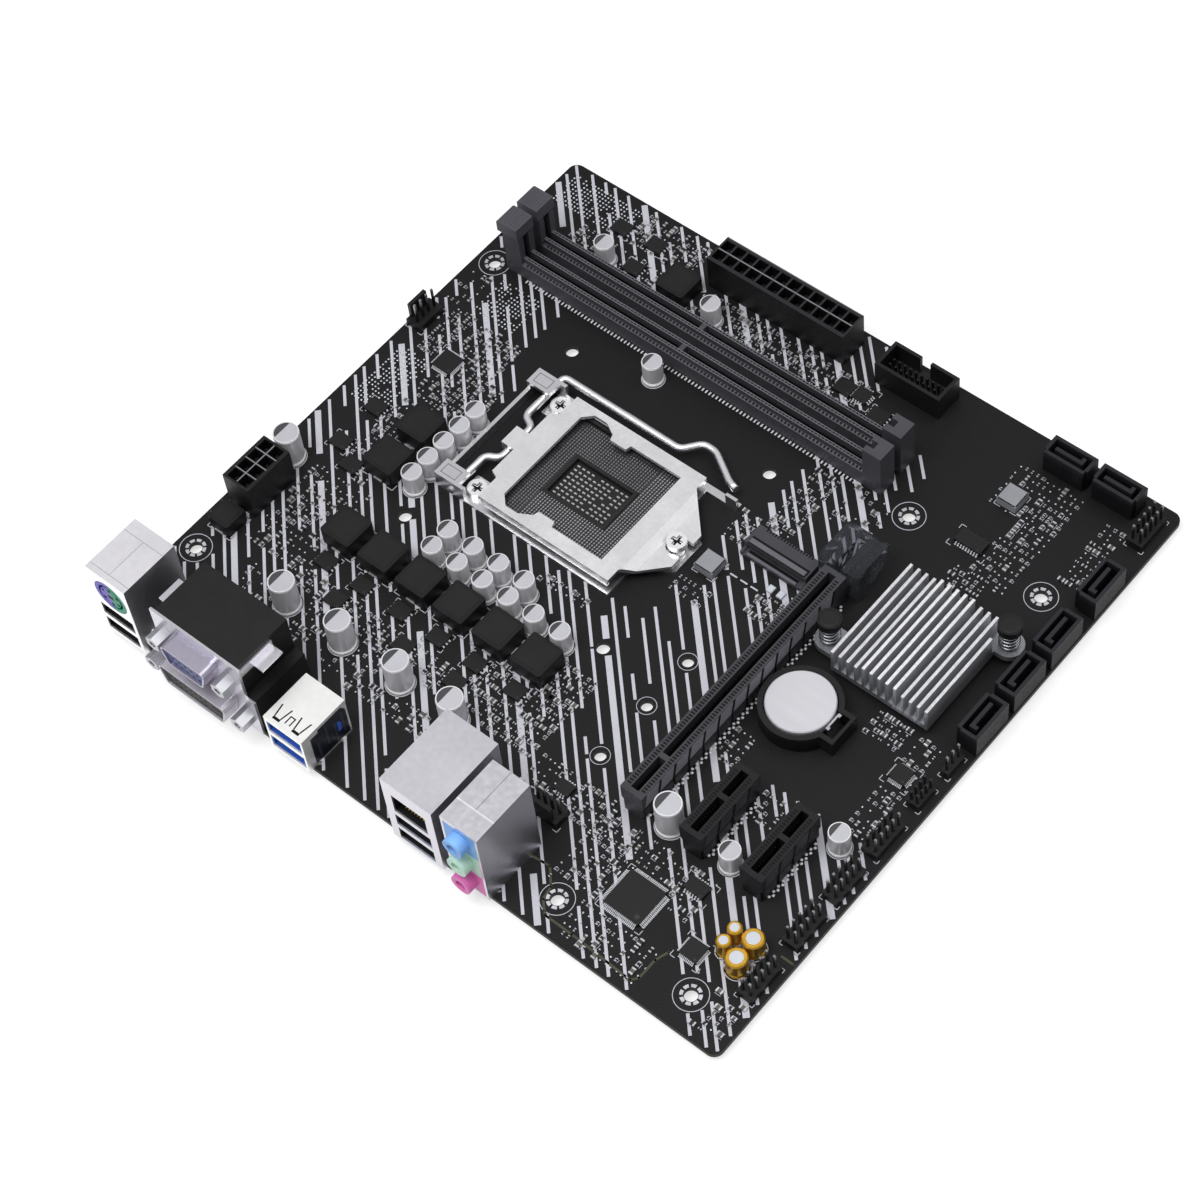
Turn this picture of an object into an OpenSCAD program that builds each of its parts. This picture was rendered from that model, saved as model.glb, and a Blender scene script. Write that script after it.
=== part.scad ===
// Micro-ATX computer motherboard in millimetres, +Z up on the component side.
// The origin is the rear lower mounting hole, on the board's underside.
// X runs from the rear (port) edge to the front edge, Y from the lower edge to the upper edge.

/* [Board] */
// Depth of the board from its rear edge to its front edge
board_w = 211; // [210:0.5:244]
// Length of the board from its lower edge to its upper edge
board_l = 226; // [225:0.5:244]
// Thickness of the board
board_t = 1.6; // [1.2:0.1:2.4]
// Radius of the board's corners
corner_r = 3; // [1:0.5:5]
// Diameter of the mounting holes
hole_d = 3.96; // [3.6:0.02:4.4]
// Inset of the datum hole from the rear edge
hole_inset_x = 10.16; // [9:0.01:12]
// Inset of the datum hole from the lower edge
hole_inset_y = 16.45; // [15:0.01:18]
// Distance from the rear column of holes to the front column
hole_span_x = 154.94; // [152:0.01:157]
// Distance from the lowest row of holes to the middle row
hole_row_mid = 45.72; // [44:0.01:47]
// Distance from the lowest row of holes to the top row
hole_row_top = 203.2; // [201:0.01:205]
// Step of the top rear hole from the rear column
hole_step_x = 22.86; // [21:0.01:24]
// Reach of legs, pegs and the backplate below the board
tail_drop = 2; // [1.5:0.1:3]
// Clearance round a leg, peg or screw in its drilled hole
leg_clear = 0.15; // [0.1:0.05:0.3]
// Clearance between pieces that are pushed together
fit = 0.05; // [0.02:0.01:0.1]
// Radial clearance of a turning pin in its hole
run_clear = 0.08; // [0.03:0.01:0.1]

/* [Processor socket] */
// Centre of the socket and of the cooler holes from the rear edge
socket_x = 115.6; // [114:0.1:117]
// Centre of the socket from the lower edge
socket_y = 139.4; // [138:0.1:141]
// Centre of the cooler holes above the socket's centre
cooler_rise = 1.4; // [0:0.1:3]
// Spacing of the cooler holes
cooler_pitch = 75; // [72:0.5:78]
// Diameter of the cooler holes
cooler_hole_d = 4; // [3.6:0.1:4.5]
// Outer width of the socket housing
socket_w = 40.6; // [39.6:0.1:41]
// Outer length of the socket housing
socket_l = 43; // [42:0.1:43.4]
// Height of the socket housing's wall
socket_h = 3.9; // [3.5:0.1:4.4]
// Side of the square pocket that takes the processor
pocket = 37.8; // [37.2:0.1:38.4]
// Height of the pocket's floor above the board
pocket_floor = 2.2; // [1.8:0.1:2.6]
// Thickness of the contact field on the floor
contact_t = 0.5; // [0.3:0.1:0.8]
// Width of the pit in the middle of the socket
pit_w = 14; // [12:0.5:16]
// Length of the pit in the middle of the socket
pit_l = 21; // [18:0.5:24]
// Thickness of the loading frame's sheet
frame_t = 1; // [0.8:0.1:1.2]
// Outer width of the loading frame
frame_w = 47.2; // [46:0.1:48]
// Thickness of the load plate
plate_t = 1.2; // [1:0.1:1.5]
// Width of the load plate
plate_w = 44.4; // [44:0.1:45.2]
// Height of the load plate's underside above the board
plate_z = 4.9; // [4.7:0.1:5.4]
// Diameter of the lever's wire
lever_d = 2.4; // [2:0.1:2.6]
// Height of the lever's axle above the board
lever_z = 3.6; // [3.4:0.1:3.7]
// Distance from the socket's centre to the lever's axle
axle_y = 32.3; // [32:0.1:33]
// Offset of the lever's crank from its axle
crank_in = 4.2; // [4:0.1:4.6]
// Distance from the socket's centre line to the lever's arm
arm_x = 26.8; // [26.6:0.1:28]
// Length of the lever's arm along the board
arm_l = 66; // [62:0.5:70]
// Diameter of the screws' shanks
ilm_screw_d = 3.4; // [3:0.1:3.8]
// Diameter of the screws' heads
ilm_head_d = 6; // [5.4:0.1:6.4]
// Height of the screws' heads
ilm_head_h = 2; // [1.6:0.1:2.4]

/* [Memory slots] */
// Centre of the first memory slot from the rear edge
dimm_x = 169.3; // [168.5:0.1:170]
// Distance between the memory slots
dimm_pitch = 9.5; // [9.2:0.1:10.4]
// Width of a memory slot's base
dimm_w = 6.6; // [6:0.1:7]
// Height of a memory slot's base
dimm_base_h = 5.9; // [5:0.1:6.5]
// Width of a memory slot's raised lip
dimm_lip_w = 4.4; // [4:0.1:5]
// Height of a memory slot's raised lip
dimm_h = 8.2; // [7.6:0.1:9]
// Lower end of the memory slots from the lower edge
dimm_y = 73; // [72:0.5:74]
// Length of an end tower
dimm_end_l = 6.5; // [6.2:0.1:7.5]
// Height of the end towers
dimm_end_h = 16.9; // [15:0.1:18]
// Length of the space for a memory module
dimm_span = 133.8; // [133.6:0.1:134.6]
// Depth of the module grooves in the end towers
dimm_groove = 2.4; // [2:0.1:2.6]
// Width of the groove for a memory module
dimm_slot_w = 2.4; // [2.2:0.1:2.6]
// Depth of the groove for a memory module
dimm_slot_deep = 5.2; // [4.5:0.1:5.6]
// Width of the latch between its cheeks
latch_w = 4; // [3.6:0.1:4.2]
// Diameter of the latch's pivot
latch_pin_d = 2; // [1.6:0.1:2.4]
// Width of the latch's head
latch_head_w = 7.6; // [7:0.1:8.4]
// Height of the latch's head above the tower
latch_head_h = 4.6; // [4:0.1:5.5]

/* [Expansion slots] */
// Rear end of the expansion slots from the rear edge
pcie_x = 42.5; // [41.5:0.1:43.5]
// Centre of the long slot from the lower edge
pcie_y = 62.6; // [62:0.1:63.4]
// Distance between the slots
pcie_pitch = 20.32; // [19.5:0.02:20.6]
// Length of the long slot
pcie_long = 89.3; // [88:0.1:90]
// Length of a short slot
pcie_short = 25; // [24:0.1:26]
// Width of a slot
pcie_w = 7.5; // [7:0.1:8]
// Height of a slot
pcie_h = 11.3; // [10.5:0.1:12]
// Width of a slot's groove
pcie_slot_w = 2.6; // [2.4:0.1:2.8]
// Depth of a slot's groove
pcie_slot_deep = 8; // [7:0.1:8.6]
// Distance from a slot's rear end to its key
pcie_key_x = 13.2; // [12:0.1:14]
// Thickness of the key
pcie_key_t = 1.7; // [1.4:0.1:2]
// Diameter of a slot's locating pegs
peg_d = 2; // [1.6:0.1:2.4]
// Length of the retention clip
clip_l = 15; // [13:0.1:16]
// Width of the retention clip
clip_w = 14; // [12:0.1:15]
// Height of the retention clip
clip_h = 12.4; // [11:0.1:13.5]
// Diameter of the retention clip's pivot
clip_pin_d = 2.2; // [1.8:0.1:2.6]
// Thickness of the contact strips in the slots
strip_t = 0.4; // [0.3:0.05:0.5]

/* [Small module slot] */
// Reference line that the module lengths are counted from
m2_x = 130.9; // [130:0.1:132]
// Centre of the module slot from the lower edge
m2_y = 81.5; // [80.5:0.1:82]
// Diameter of the module post holes
m2_hole_d = 3.5; // [3:0.1:4]
// Width of the module slot's housing
m2_w = 21.9; // [21:0.1:22]
// Height of the module slot's housing
m2_h = 4.2; // [3.2:0.1:5]

/* [Power connectors] */
// Pitch of the power contacts
power_pitch = 4.2; // [4:0.05:4.3]
// Width of a power housing across its two rows
power_w = 10.2; // [9.6:0.1:10.6]
// Height of the power housings
power_h = 13; // [12:0.1:14]
// Side of a contact cell
cell = 3.5; // [3.2:0.1:3.6]
// Depth of a contact cell
cell_deep = 9.5; // [8:0.1:11]
// Side of a power pin
power_pin = 1.1; // [0.9:0.1:1.3]
// Inset of the main power connector from the front edge
atx_inset = 3.8; // [3:0.1:5]
// Lower end of the main power connector from the lower edge
atx_y = 110.2; // [109:0.1:110.5]
// Rear end of the processor power connector from the rear edge
eps_x = 51.2; // [50.6:0.1:52]
// Inset of the processor power connector from the upper edge
eps_inset = 2.8; // [2:0.1:3.4]

/* [Headers] */
// Pitch of the pin headers
pin_pitch = 2.54; // [2.5:0.01:2.58]
// Side of a header pin
pin_side = 0.64; // [0.5:0.02:0.7]
// Height of a header pin above the board
pin_h = 8.6; // [8:0.1:9.5]
// Height of a header's base
header_h = 2.5; // [2:0.1:3]
// Lower row of the edge headers from the lower edge
header_y = 3.4; // [3:0.1:3.8]
// Inset of the front panel header from the front edge
panel_inset = 5.7; // [5:0.1:7]
// Length of a fan header
fan_l = 10.4; // [10.2:0.1:11]
// Width of a fan header
fan_w = 5.8; // [5.4:0.1:6.2]
// Height of a fan header's guide wall
fan_wall_h = 8; // [7:0.1:9]
// Length of the front port header's shroud
usb_header_l = 23.1; // [22.8:0.1:24]
// Width of the front port header's shroud
usb_header_w = 10.3; // [9.8:0.1:10.8]
// Height of the front port header's shroud
usb_header_h = 9; // [8.6:0.1:10]
// Wall of the front port header's shroud
usb_header_wall = 1.1; // [0.9:0.1:1.3]
// Lower end of the front port header from the lower edge
usb_header_y = 75.9; // [75:0.1:77]

/* [Drive ports] */
// Length of a drive port
sata_l = 14.6; // [14.2:0.1:15]
// Width of a drive port
sata_w = 7; // [6.6:0.1:7.2]
// Height of a drive port
sata_h = 8.5; // [8:0.1:9.5]
// Inset of the front drive ports from the front edge
sata_inset = 2.9; // [2:0.1:3.2]

/* [Chipset cooler] */
// Rear side of the chipset cooler from the rear edge
sink_x = 110; // [109:0.1:110.6]
// Lower side of the chipset cooler from the lower edge
sink_y = 15; // [14.6:0.1:15.6]
// Length of the cooler's fins
sink_l = 36.4; // [35:0.1:37]
// Width of the cooler across its fins
sink_w = 32.7; // [32:0.1:33.2]
// Thickness of the cooler's base
sink_base_t = 2; // [1.6:0.1:2.6]
// Number of fins
fin_count = 13; // [9:1:15]
// Thickness of a fin
fin_t = 0.9; // [0.7:0.1:1.1]
// Height of the outer fins above the base
fin_h = 7; // [6:0.5:9]
// Extra height of the middle fins
fin_rise = 1.6; // [0.5:0.1:2.5]
// Side of the chipset's package
chipset_w = 23; // [20:0.5:26]
// Height of the chipset with its die
chipset_h = 2; // [1.6:0.1:2.6]
// Distance from the cooler's corner to a push pin
pin_reach = 5.6; // [5.2:0.1:6]
// Diameter of a push pin's shaft
push_pin_d = 3; // [2.6:0.1:3.2]
// Diameter of a push pin's head
push_head_d = 7; // [6.4:0.1:7.4]
// Height of a push pin's head
push_head_h = 2.6; // [2:0.1:3]
// Clearance round a push pin's shaft
push_clear = 0.4; // [0.3:0.05:0.6]
// Length of a push pin's spring
spring_l = 7; // [6.4:0.1:8]
// Diameter of the spring's wire
spring_wire = 0.7; // [0.6:0.05:0.75]
// Curls of a spring
spring_turns = 4; // [3:0.5:4.5]

/* [Battery] */
// Centre of the coin cell from the rear edge
cell_x = 94.5; // [94:0.1:95.5]
// Centre of the coin cell from the lower edge
cell_y = 46; // [45.6:0.1:46.6]
// Diameter of the coin cell
coin_d = 20; // [19:0.1:20.2]
// Thickness of the coin cell
coin_h = 3.2; // [2.5:0.1:3.4]
// Clearance round the coin cell
coin_clear = 0.4; // [0.3:0.05:0.6]
// Thickness of the holder's floor
holder_floor = 3.6; // [3:0.1:4]
// Wall of the holder
holder_wall = 1.6; // [1.2:0.1:1.8]
// Thickness of the contact clip
clip_t = 0.6; // [0.5:0.05:0.8]
// Width of the contact clip
clip_band = 6; // [5:0.1:7]

/* [Rear ports] */
// Thickness of the port shells
shell_t = 0.5; // [0.4:0.05:0.6]
// Width of a shell's solder tab
tab_w = 1.2; // [1:0.1:1.4]
// Distance from a shell's ends to its solder tabs
tab_in = 4; // [3.8:0.1:4.6]
// Overhang of the ports beyond the rear edge
port_overhang = 1.8; // [1:0.1:2.4]
// Lower side of the audio jack stack from the lower edge
audio_y = 76.2; // [75.6:0.1:76.8]
// Width of the audio jack stack
audio_w = 12.8; // [12:0.1:13.4]
// Depth of the audio jack stack
audio_d = 21.3; // [20:0.1:22]
// Height of the audio jack stack
audio_h = 32; // [31:0.1:33]
// Outer diameter of an audio jack
jack_d = 6.6; // [6:0.1:7]
// Bore of an audio jack
jack_bore = 3.6; // [3.5:0.05:3.8]
// Reach of an audio jack in front of its body
jack_reach = 3.4; // [3:0.1:4]
// Distance between the audio jacks
jack_pitch = 9.8; // [9:0.1:10]
// Lower side of the network port stack from the lower edge
lan_y = 91.9; // [90.6:0.1:92.4]
// Width of the network port stack
lan_w = 18.2; // [17.6:0.1:18.6]
// Depth of the network port stack
lan_d = 27; // [25:0.1:28]
// Height of the network port stack
lan_h = 30; // [29:0.1:31]
// Lower side of the two-port stack from the lower edge
usb3_y = 141.5; // [140:0.1:142]
// Width of the two-port stack
usb3_w = 14.4; // [14:0.1:15]
// Depth of the two-port stack
usb3_d = 17.4; // [16.5:0.1:18]
// Height of the two-port stack
usb3_h = 15.6; // [15.2:0.1:16.5]
// Centre of the video stack from the lower edge
video_y = 180; // [179.6:0.1:180.4]
// Width of the video stack's lower tier
video_w = 38.6; // [38.4:0.1:39.4]
// Width of the video stack's upper tier
video_top_w = 31.4; // [31:0.1:33]
// Height of the video stack's lower tier
video_step = 15.4; // [14.8:0.1:16]
// Depth of the video stack's body
video_d = 20; // [18:0.1:21]
// Height of the video stack
video_h = 30; // [29:0.1:31]
// Thickness of the video face plate
face_t = 0.8; // [0.6:0.1:1]
// Reach of the video sockets in front of the face plate
socket_reach = 5.6; // [5:0.1:6]
// Distance between the upper video screws
vga_span = 25; // [24.8:0.1:25.4]
// Distance between the lower video screws
dvi_span = 33.3; // [33:0.1:33.8]
// Lower side of the keyboard port stack from the lower edge
ps2_y = 205.6; // [205:0.1:206.2]
// Width of the keyboard port stack
ps2_w = 15.4; // [15:0.1:16]
// Depth of the keyboard port stack
ps2_d = 20; // [19:0.1:21]
// Height of the keyboard port stack
ps2_h = 30.6; // [30:0.1:31.5]
// Diameter of the round keyboard socket
ps2_socket_d = 12.2; // [11.6:0.1:12.8]
// Width of a flat port's opening
usb_w = 12.7; // [12.5:0.1:13]
// Height of a flat port's opening
usb_h = 5.3; // [5.1:0.1:5.6]
// Depth of a flat port's opening
usb_deep = 12; // [10:0.1:13]
// Width of the network port's opening
lan_port_w = 12; // [11.8:0.1:13]
// Height of the network port's opening
lan_port_h = 8.4; // [8:0.1:9]

/* [Power parts] */
// Side of a main choke
choke_w = 11; // [10:0.1:11.4]
// Height of a main choke
choke_h = 6.4; // [5:0.1:8]
// Corner radius of a choke
choke_r = 0.8; // [0.4:0.1:1.2]
// Distance between the chokes of the main row
choke_pitch = 14.46; // [13.6:0.02:14.8]
// Diameter of the bulk capacitors
bulk_d = 8; // [7:0.1:8.2]
// Height of the bulk capacitors
bulk_h = 12; // [10:0.1:14]
// Diameter of the polymer capacitors
poly_d = 6.3; // [5.6:0.1:6.6]
// Height of the polymer capacitors
poly_h = 8.4; // [7:0.1:9.5]
// Distance between the polymer capacitors of a column
poly_pitch = 9.6; // [9:0.05:9.7]
// Diameter of the large audio capacitors
gold_d = 6.3; // [5.6:0.1:6.5]
// Diameter of the small audio capacitors
gold_small_d = 4.2; // [3.8:0.1:4.4]
// Height of the audio capacitors
gold_h = 6.6; // [5:0.1:8]
// Height of the power transistors
mosfet_h = 1; // [0.8:0.1:1.2]

/* [Hidden] */
$fn = 48;
eps = 0.01;
front = board_w;
upper = board_l;

// Mounting, cooler and module holes
front_col = hole_inset_x + hole_span_x;
mount_spots = [
    [hole_inset_x, hole_inset_y],
    [front_col, hole_inset_y],
    [hole_inset_x, hole_inset_y + hole_row_mid],
    [front_col, hole_inset_y + hole_row_mid],
    [hole_inset_x + hole_step_x, hole_inset_y + hole_row_top],
    [front_col, hole_inset_y + hole_row_top]
];
half_cooler = cooler_pitch / 2;
cooler_spots = [for (x = [-1, 1], y = [-1, 1])
    [socket_x + x * half_cooler, socket_y + cooler_rise + y * half_cooler]];
m2_lengths = [42, 60, 80];
m2_spots = [for (l = m2_lengths) [m2_x - l, m2_y]];

// Loading mechanism
crank_y = axle_y - crank_in;
screw_side = 18.6;
screw_back = 27.1;
screw_front = 32.6;
ilm_spots = [
    [socket_x - screw_side, socket_y + screw_back],
    [socket_x + screw_side, socket_y + screw_back],
    [socket_x, socket_y - screw_front]
];
tongue_drop = 2.1;
shoulder_d = 4.4;
shoulder_h = plate_z - tongue_drop + plate_t + 0.4;
screw_gap = 0.4;
backplate_w = 52;
backplate_l = 76;
backplate_y = -36;
backplate_window = 20;

// Memory slots
dimm_rail = dimm_span - 2 * dimm_groove;
dimm_far = dimm_y + dimm_end_l + dimm_rail;
dimm_pegs = [dimm_y + dimm_end_l / 2, dimm_y + 70, dimm_far + dimm_end_l / 2];
latch_pin_y = dimm_far + 4.5;
latch_room = 1.9;
latch_pin_z = 3.6;
latch_side = 0.25;
dimm_key_y = 68;
dimm_key_t = 1.6;

// Expansion slots: place, lower-edge distance and length of each
pcie_slots = [
    [pcie_x, pcie_y, pcie_long],
    [pcie_x, pcie_y - pcie_pitch, pcie_short],
    [pcie_x, pcie_y - 2 * pcie_pitch, pcie_short]
];
peg_in = 3;
clip_x = pcie_x + pcie_long + 1;
clip_pin_x = clip_x + 1.8;
clip_pin_z = 2.6;
tail_w = 5;
tail_l = 5;

// Headers: first pin, count along X, rows
pin_bases = [
    [18.7, header_y, 5, 2],
    [37.6, header_y, 5, 2],
    [54.6, header_y, 5, 2],
    [71.8, header_y, 5, 2],
    [103.4, header_y, 3, 1],
    [front - panel_inset - 4 * pin_pitch, header_y + 0.8, 5, 2]
];
fine_pitch = 2;
fine_base = [90.2, header_y, 4, 2];
cpu_fan = [131.2, upper - 6.4];
case_fan = [26, 76];
usb_header_x = front - 3.2 - usb_header_w;
power_rows = 2;
atx_cells = 12;
eps_cells = 4;
atx_l = atx_cells * power_pitch + 0.6;
eps_l = eps_cells * power_pitch + 0.8;
atx_x = front - atx_inset - power_w;
eps_y = upper - eps_inset - power_w;

// Drive ports: corner and whether the port stands along Y
sata_spots = [
    [112.4, 0.2, false],
    [129.6, 0.2, false],
    [146.9, 0.2, false],
    [167.4, 0.2, false],
    [front - sata_inset - sata_w, 27.6, true],
    [front - sata_inset - sata_w, 10.9, true]
];

// Chipset cooler
sink_z = board_t + chipset_h;
ear_z = sink_z + sink_base_t;
fin_pitch = (sink_w - fin_t) / (fin_count - 1);
pin_a = [sink_x + 7, sink_y + sink_w + pin_reach];
pin_b = [sink_x + sink_l - 1.4, sink_y - pin_reach + 3.6];
ear_r = 4.4;
head_gap = 0.3;
push_hole_d = push_pin_d + 2 * push_clear;
barb_d = push_hole_d + 0.5;
barb_gap = 0.3;
spring_d = push_pin_d + 2 * spring_wire + 1;
rings_per_turn = 8;
spring_rings = spring_turns * rings_per_turn;
function spring_point(i) =
    let (t = i / spring_rings, a = 360 * spring_turns * t)
    [spring_d / 2 * cos(a), spring_d / 2 * sin(a), spring_wire + t * (spring_l - 2 * spring_wire)];
spring_path = concat(
    [[spring_d / 2, 0, 0]],
    [for (i = [0:spring_rings]) spring_point(i)],
    [[spring_point(spring_rings)[0], spring_point(spring_rings)[1], spring_l]]
);
spring_gap = min([for (i = [1:spring_rings - rings_per_turn])
    norm(spring_path[i + rings_per_turn] - spring_path[i])]) - spring_wire;
echo(least_spring_gap = spring_gap);

// Battery
cell_gap = 0.1;
cell_z = board_t + holder_floor + cell_gap;
holder_r = coin_d / 2 + coin_clear + holder_wall;
clip_y = cell_y - coin_d / 2 - coin_clear - clip_t;
clip_pivot_z = board_t + 0.9;

// Rear ports: rear face, lower side, depth, width and height
ps2 = [-port_overhang, ps2_y, ps2_d, ps2_w, ps2_h];
usb3 = [-port_overhang, usb3_y, usb3_d, usb3_w, usb3_h];
lan = [-port_overhang, lan_y, lan_d, lan_w, lan_h];
audio = [-port_overhang + 0.5, audio_y, audio_d, audio_w, audio_h];
usb_gap = 2;
usb_low = 1.4 + usb_h / 2;
usb_high = usb_low + usb_h + usb_gap;
lan_port_z = usb_high + usb_h / 2 + 2 + lan_port_h / 2;
ps2_z = usb_high + usb_h / 2 + 1.6 + ps2_socket_d / 2;
jack_deep = 13.8;
audio_wall = 0.8;
jack_low = (audio_h - 2 * jack_pitch) / 2;
vga_z = 22.4;
dvi_z = 8.6;
vga_size = [16.6, 8];
dvi_size = [25.6, 8.4];
nut_d = 5.4;
nut_l = 5.2;
stud_d = 2.8;
stud_l = 3;
nut_bore = 2.2;
video_x = 0;
screw_spots = [
    [video_y - vga_span / 2, vga_z],
    [video_y + vga_span / 2, vga_z],
    [video_y - dvi_span / 2, dvi_z],
    [video_y + dvi_span / 2, dvi_z]
];

// Drilled holes for the shells' tabs
function tab_spots(s) = [for (x = [tab_in, s[2] - tab_in], y = [shell_t / 2, s[3] - shell_t / 2])
    [s[0] + x, s[1] + y]];
video_legs = [for (x = [video_x + tab_in, video_x + video_d - tab_in], y = [-1, 1])
    [x, video_y + y * (video_w / 2 - 3)]];
tab_holes = concat(tab_spots(ps2), tab_spots(usb3), tab_spots(lan), tab_spots(audio));
tab_hole_d = norm([tab_w, shell_t]) + 2 * leg_clear;
dimm_peg_spots = [for (i = [0, 1], y = dimm_pegs) [dimm_x + i * dimm_pitch, y]];
pcie_peg_spots = [for (s = pcie_slots, x = [peg_in, s[2] - peg_in]) [s[0] + x, s[1]]];
peg_holes = concat(dimm_peg_spots, pcie_peg_spots, video_legs);

// Capacitors, chokes and chips
bulk_spots = concat(
    [for (y = [120.8, 141, 163, 184.6]) [34.9, y]],
    [[73.8, upper - 6.6], [45.7, 52.4]]
);
poly_column = 112.7;
poly_spots = concat(
    [for (i = [0:5]) [71.5, poly_column + i * poly_pitch]],
    [for (i = [2:5]) [78.4, poly_column + i * poly_pitch]],
    [for (i = [0:4]) [87.2 + i * 7, 182.6]],
    [[186.3, 193], [159.6, 152.1], [187, 152.1], [46.2, 32], [68, 12.4]]
);
gold_spots = [[23.4, 11.6], [30.4, 11.6]];
gold_small_spots = [[25.2, 17.4], [29.9, 17.4]];
choke_row = [62.5, 113.7];
choke_spots = concat(
    [for (i = [0:5]) [choke_row[0], choke_row[1] + i * choke_pitch]],
    [[88.5, 193.4], [88.5 + choke_pitch, 193.4]]
);
small_choke = [8, 8, 5];
small_choke_spot = [45.3, upper - 8];
input_choke = [10.4, 10.4, 5.4];
input_choke_spot = [190, 167];
ferrite = [6.6, 6.6, 3];
ferrite_spots = [[117.5, 96.5], [187, 42]];
mosfet_size = [5, 6];
mosfet_spots = concat(
    [for (y = [113.5, 128.4, 142.5, 157, 171.5, 185.5]) [52.4, y]],
    [for (y = [129, 148.5, 174.5]) [44.3, y]],
    [for (x = [86.5, 102]) [x, upper - 14.6]],
    [[82, 203], [198.7, 196.6], [188.6, 183.7], [199.5, 183.8], [190.5, 104.6], [187.8, 90.4]]
);
// Chip packages: centre, width, length and height
chip_packages = [
    [22.8, 45.8, 12, 12, 1.4],
    [20.3, 23.7, 5.8, 5.8, 1.2],
    [127.4, 205.4, 7, 7, 0.9],
    [95.4, 12.6, 5.3, 5.3, 1.6],
    [191.2, 98.6, 5, 5, 1],
    [37, 82.3, 4, 5, 1.2],
    [168, 42.4, 4.6, 9, 1.6],
    [35.2, 34.6, 4.4, 6.5, 1.2]
];

// Shared shapes

// Moves a piece from the board's rear lower corner to the datum hole
module place() {
    translate([-hole_inset_x, -hole_inset_y, 0]) children();
}

// Moves a piece onto the board's top face
module on_board(p) {
    translate([p[0], p[1], board_t]) children();
}

module block(p, s) {
    translate(p) cube(s);
}

// Block on the board's top face, centred on a spot
module chip(p, s) {
    on_board(p) translate([-s[0] / 2, -s[1] / 2, 0]) cube(s);
}

module rounded_rect(s, r) {
    translate([r, 0]) square([s[0] - 2 * r, s[1]]);
    translate([0, r]) square([s[0], s[1] - 2 * r]);
    for (x = [r, s[0] - r], y = [r, s[1] - r])
        translate([x, y]) circle(r);
}

// Profile drawn in Y and Z, extruded along X
module along_x(x, w) {
    translate([x, 0, 0]) rotate([90, 0, 90]) linear_extrude(w) children();
}

// Profile drawn in X and Z, extruded along Y
module along_y(y, w) {
    translate([0, y + w, 0]) rotate([90, 0, 0]) linear_extrude(w) children();
}

function unit(v) = v / norm(v);
function left_of(v) = [-v[1], v[0], 0];

// Corner b of a path from a to c, rounded into four points
function bend(a, b, c, reach) = let (from = b + reach * unit(a - b), to = b + reach * unit(c - b))
    [for (t = [0:1 / 3:1]) (1 - t) * (1 - t) * from + 2 * t * (1 - t) * b + t * t * to];

// Path with its inner corners rounded
function rounded_path(points, reach) = let (last = len(points) - 1) concat(
    [points[0]],
    [for (i = [1:last - 1]) each bend(points[i - 1], points[i], points[i + 1], reach)],
    [points[last]]
);

// Round wire along a path at one height, mitred at each point
module bent_wire(path, d) {
    last = len(path) - 1;
    sides = 12;
    rings = [for (i = [0:last])
        let (
            before = unit(path[max(i, 1)] - path[max(i, 1) - 1]),
            after = unit(path[min(i + 1, last)] - path[min(i, last - 1)]),
            across = left_of(unit(before + after)),
            mitre = across / (across * left_of(before))
        )
        for (k = [0:sides - 1])
            path[i] + d / 2 * (cos(360 * k / sides) * mitre + sin(360 * k / sides) * [0, 0, 1])];
    ends = [[for (k = [0:sides - 1]) k], [for (k = [sides - 1:-1:0]) last * sides + k]];
    walls = [for (i = [0:last - 1], k = [0:sides - 1])
        let (a = i * sides, next = (k + 1) % sides)
        [a + k, a + sides + k, a + sides + next, a + next]];
    polyhedron(rings, concat(ends, walls));
}

// Board

module pcb() {
    color("#1c1c1f") place() linear_extrude(board_t) difference() {
        rounded_rect([board_w, board_l], corner_r);
        for (p = mount_spots)
            translate(p) circle(d = hole_d);
        for (p = cooler_spots)
            translate(p) circle(d = cooler_hole_d);
        for (p = m2_spots)
            translate(p) circle(d = m2_hole_d);
        for (p = ilm_spots)
            translate(p) circle(d = ilm_screw_d + 2 * leg_clear);
        for (p = [pin_a, pin_b])
            translate(p) circle(d = push_hole_d);
        for (p = tab_holes)
            translate(p) circle(d = tab_hole_d);
        for (p = peg_holes)
            translate(p) circle(d = peg_d + 2 * leg_clear);
    }
}

// Processor socket and its loading mechanism, drawn about the socket's centre

module at_socket() {
    place() on_board([socket_x, socket_y]) children();
}

module centred_block(s, z) {
    translate([-s[0] / 2, -s[1] / 2, z]) cube(s);
}

module socket_housing() {
    color("#2a2a2c") at_socket() difference() {
        centred_block([socket_w, socket_l, socket_h], 0);
        centred_block([pocket, pocket, socket_h], pocket_floor);
        centred_block([pit_w, pit_l, socket_h], pocket_floor / 2);
    }
}

module socket_contacts() {
    field = pocket - 2 * fit;
    rim = 1;
    color("#8d8471") at_socket() difference() {
        centred_block([field, field, contact_t], pocket_floor);
        centred_block([pit_w + rim, pit_l + rim, contact_t + 2 * eps], pocket_floor - eps);
    }
}

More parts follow.
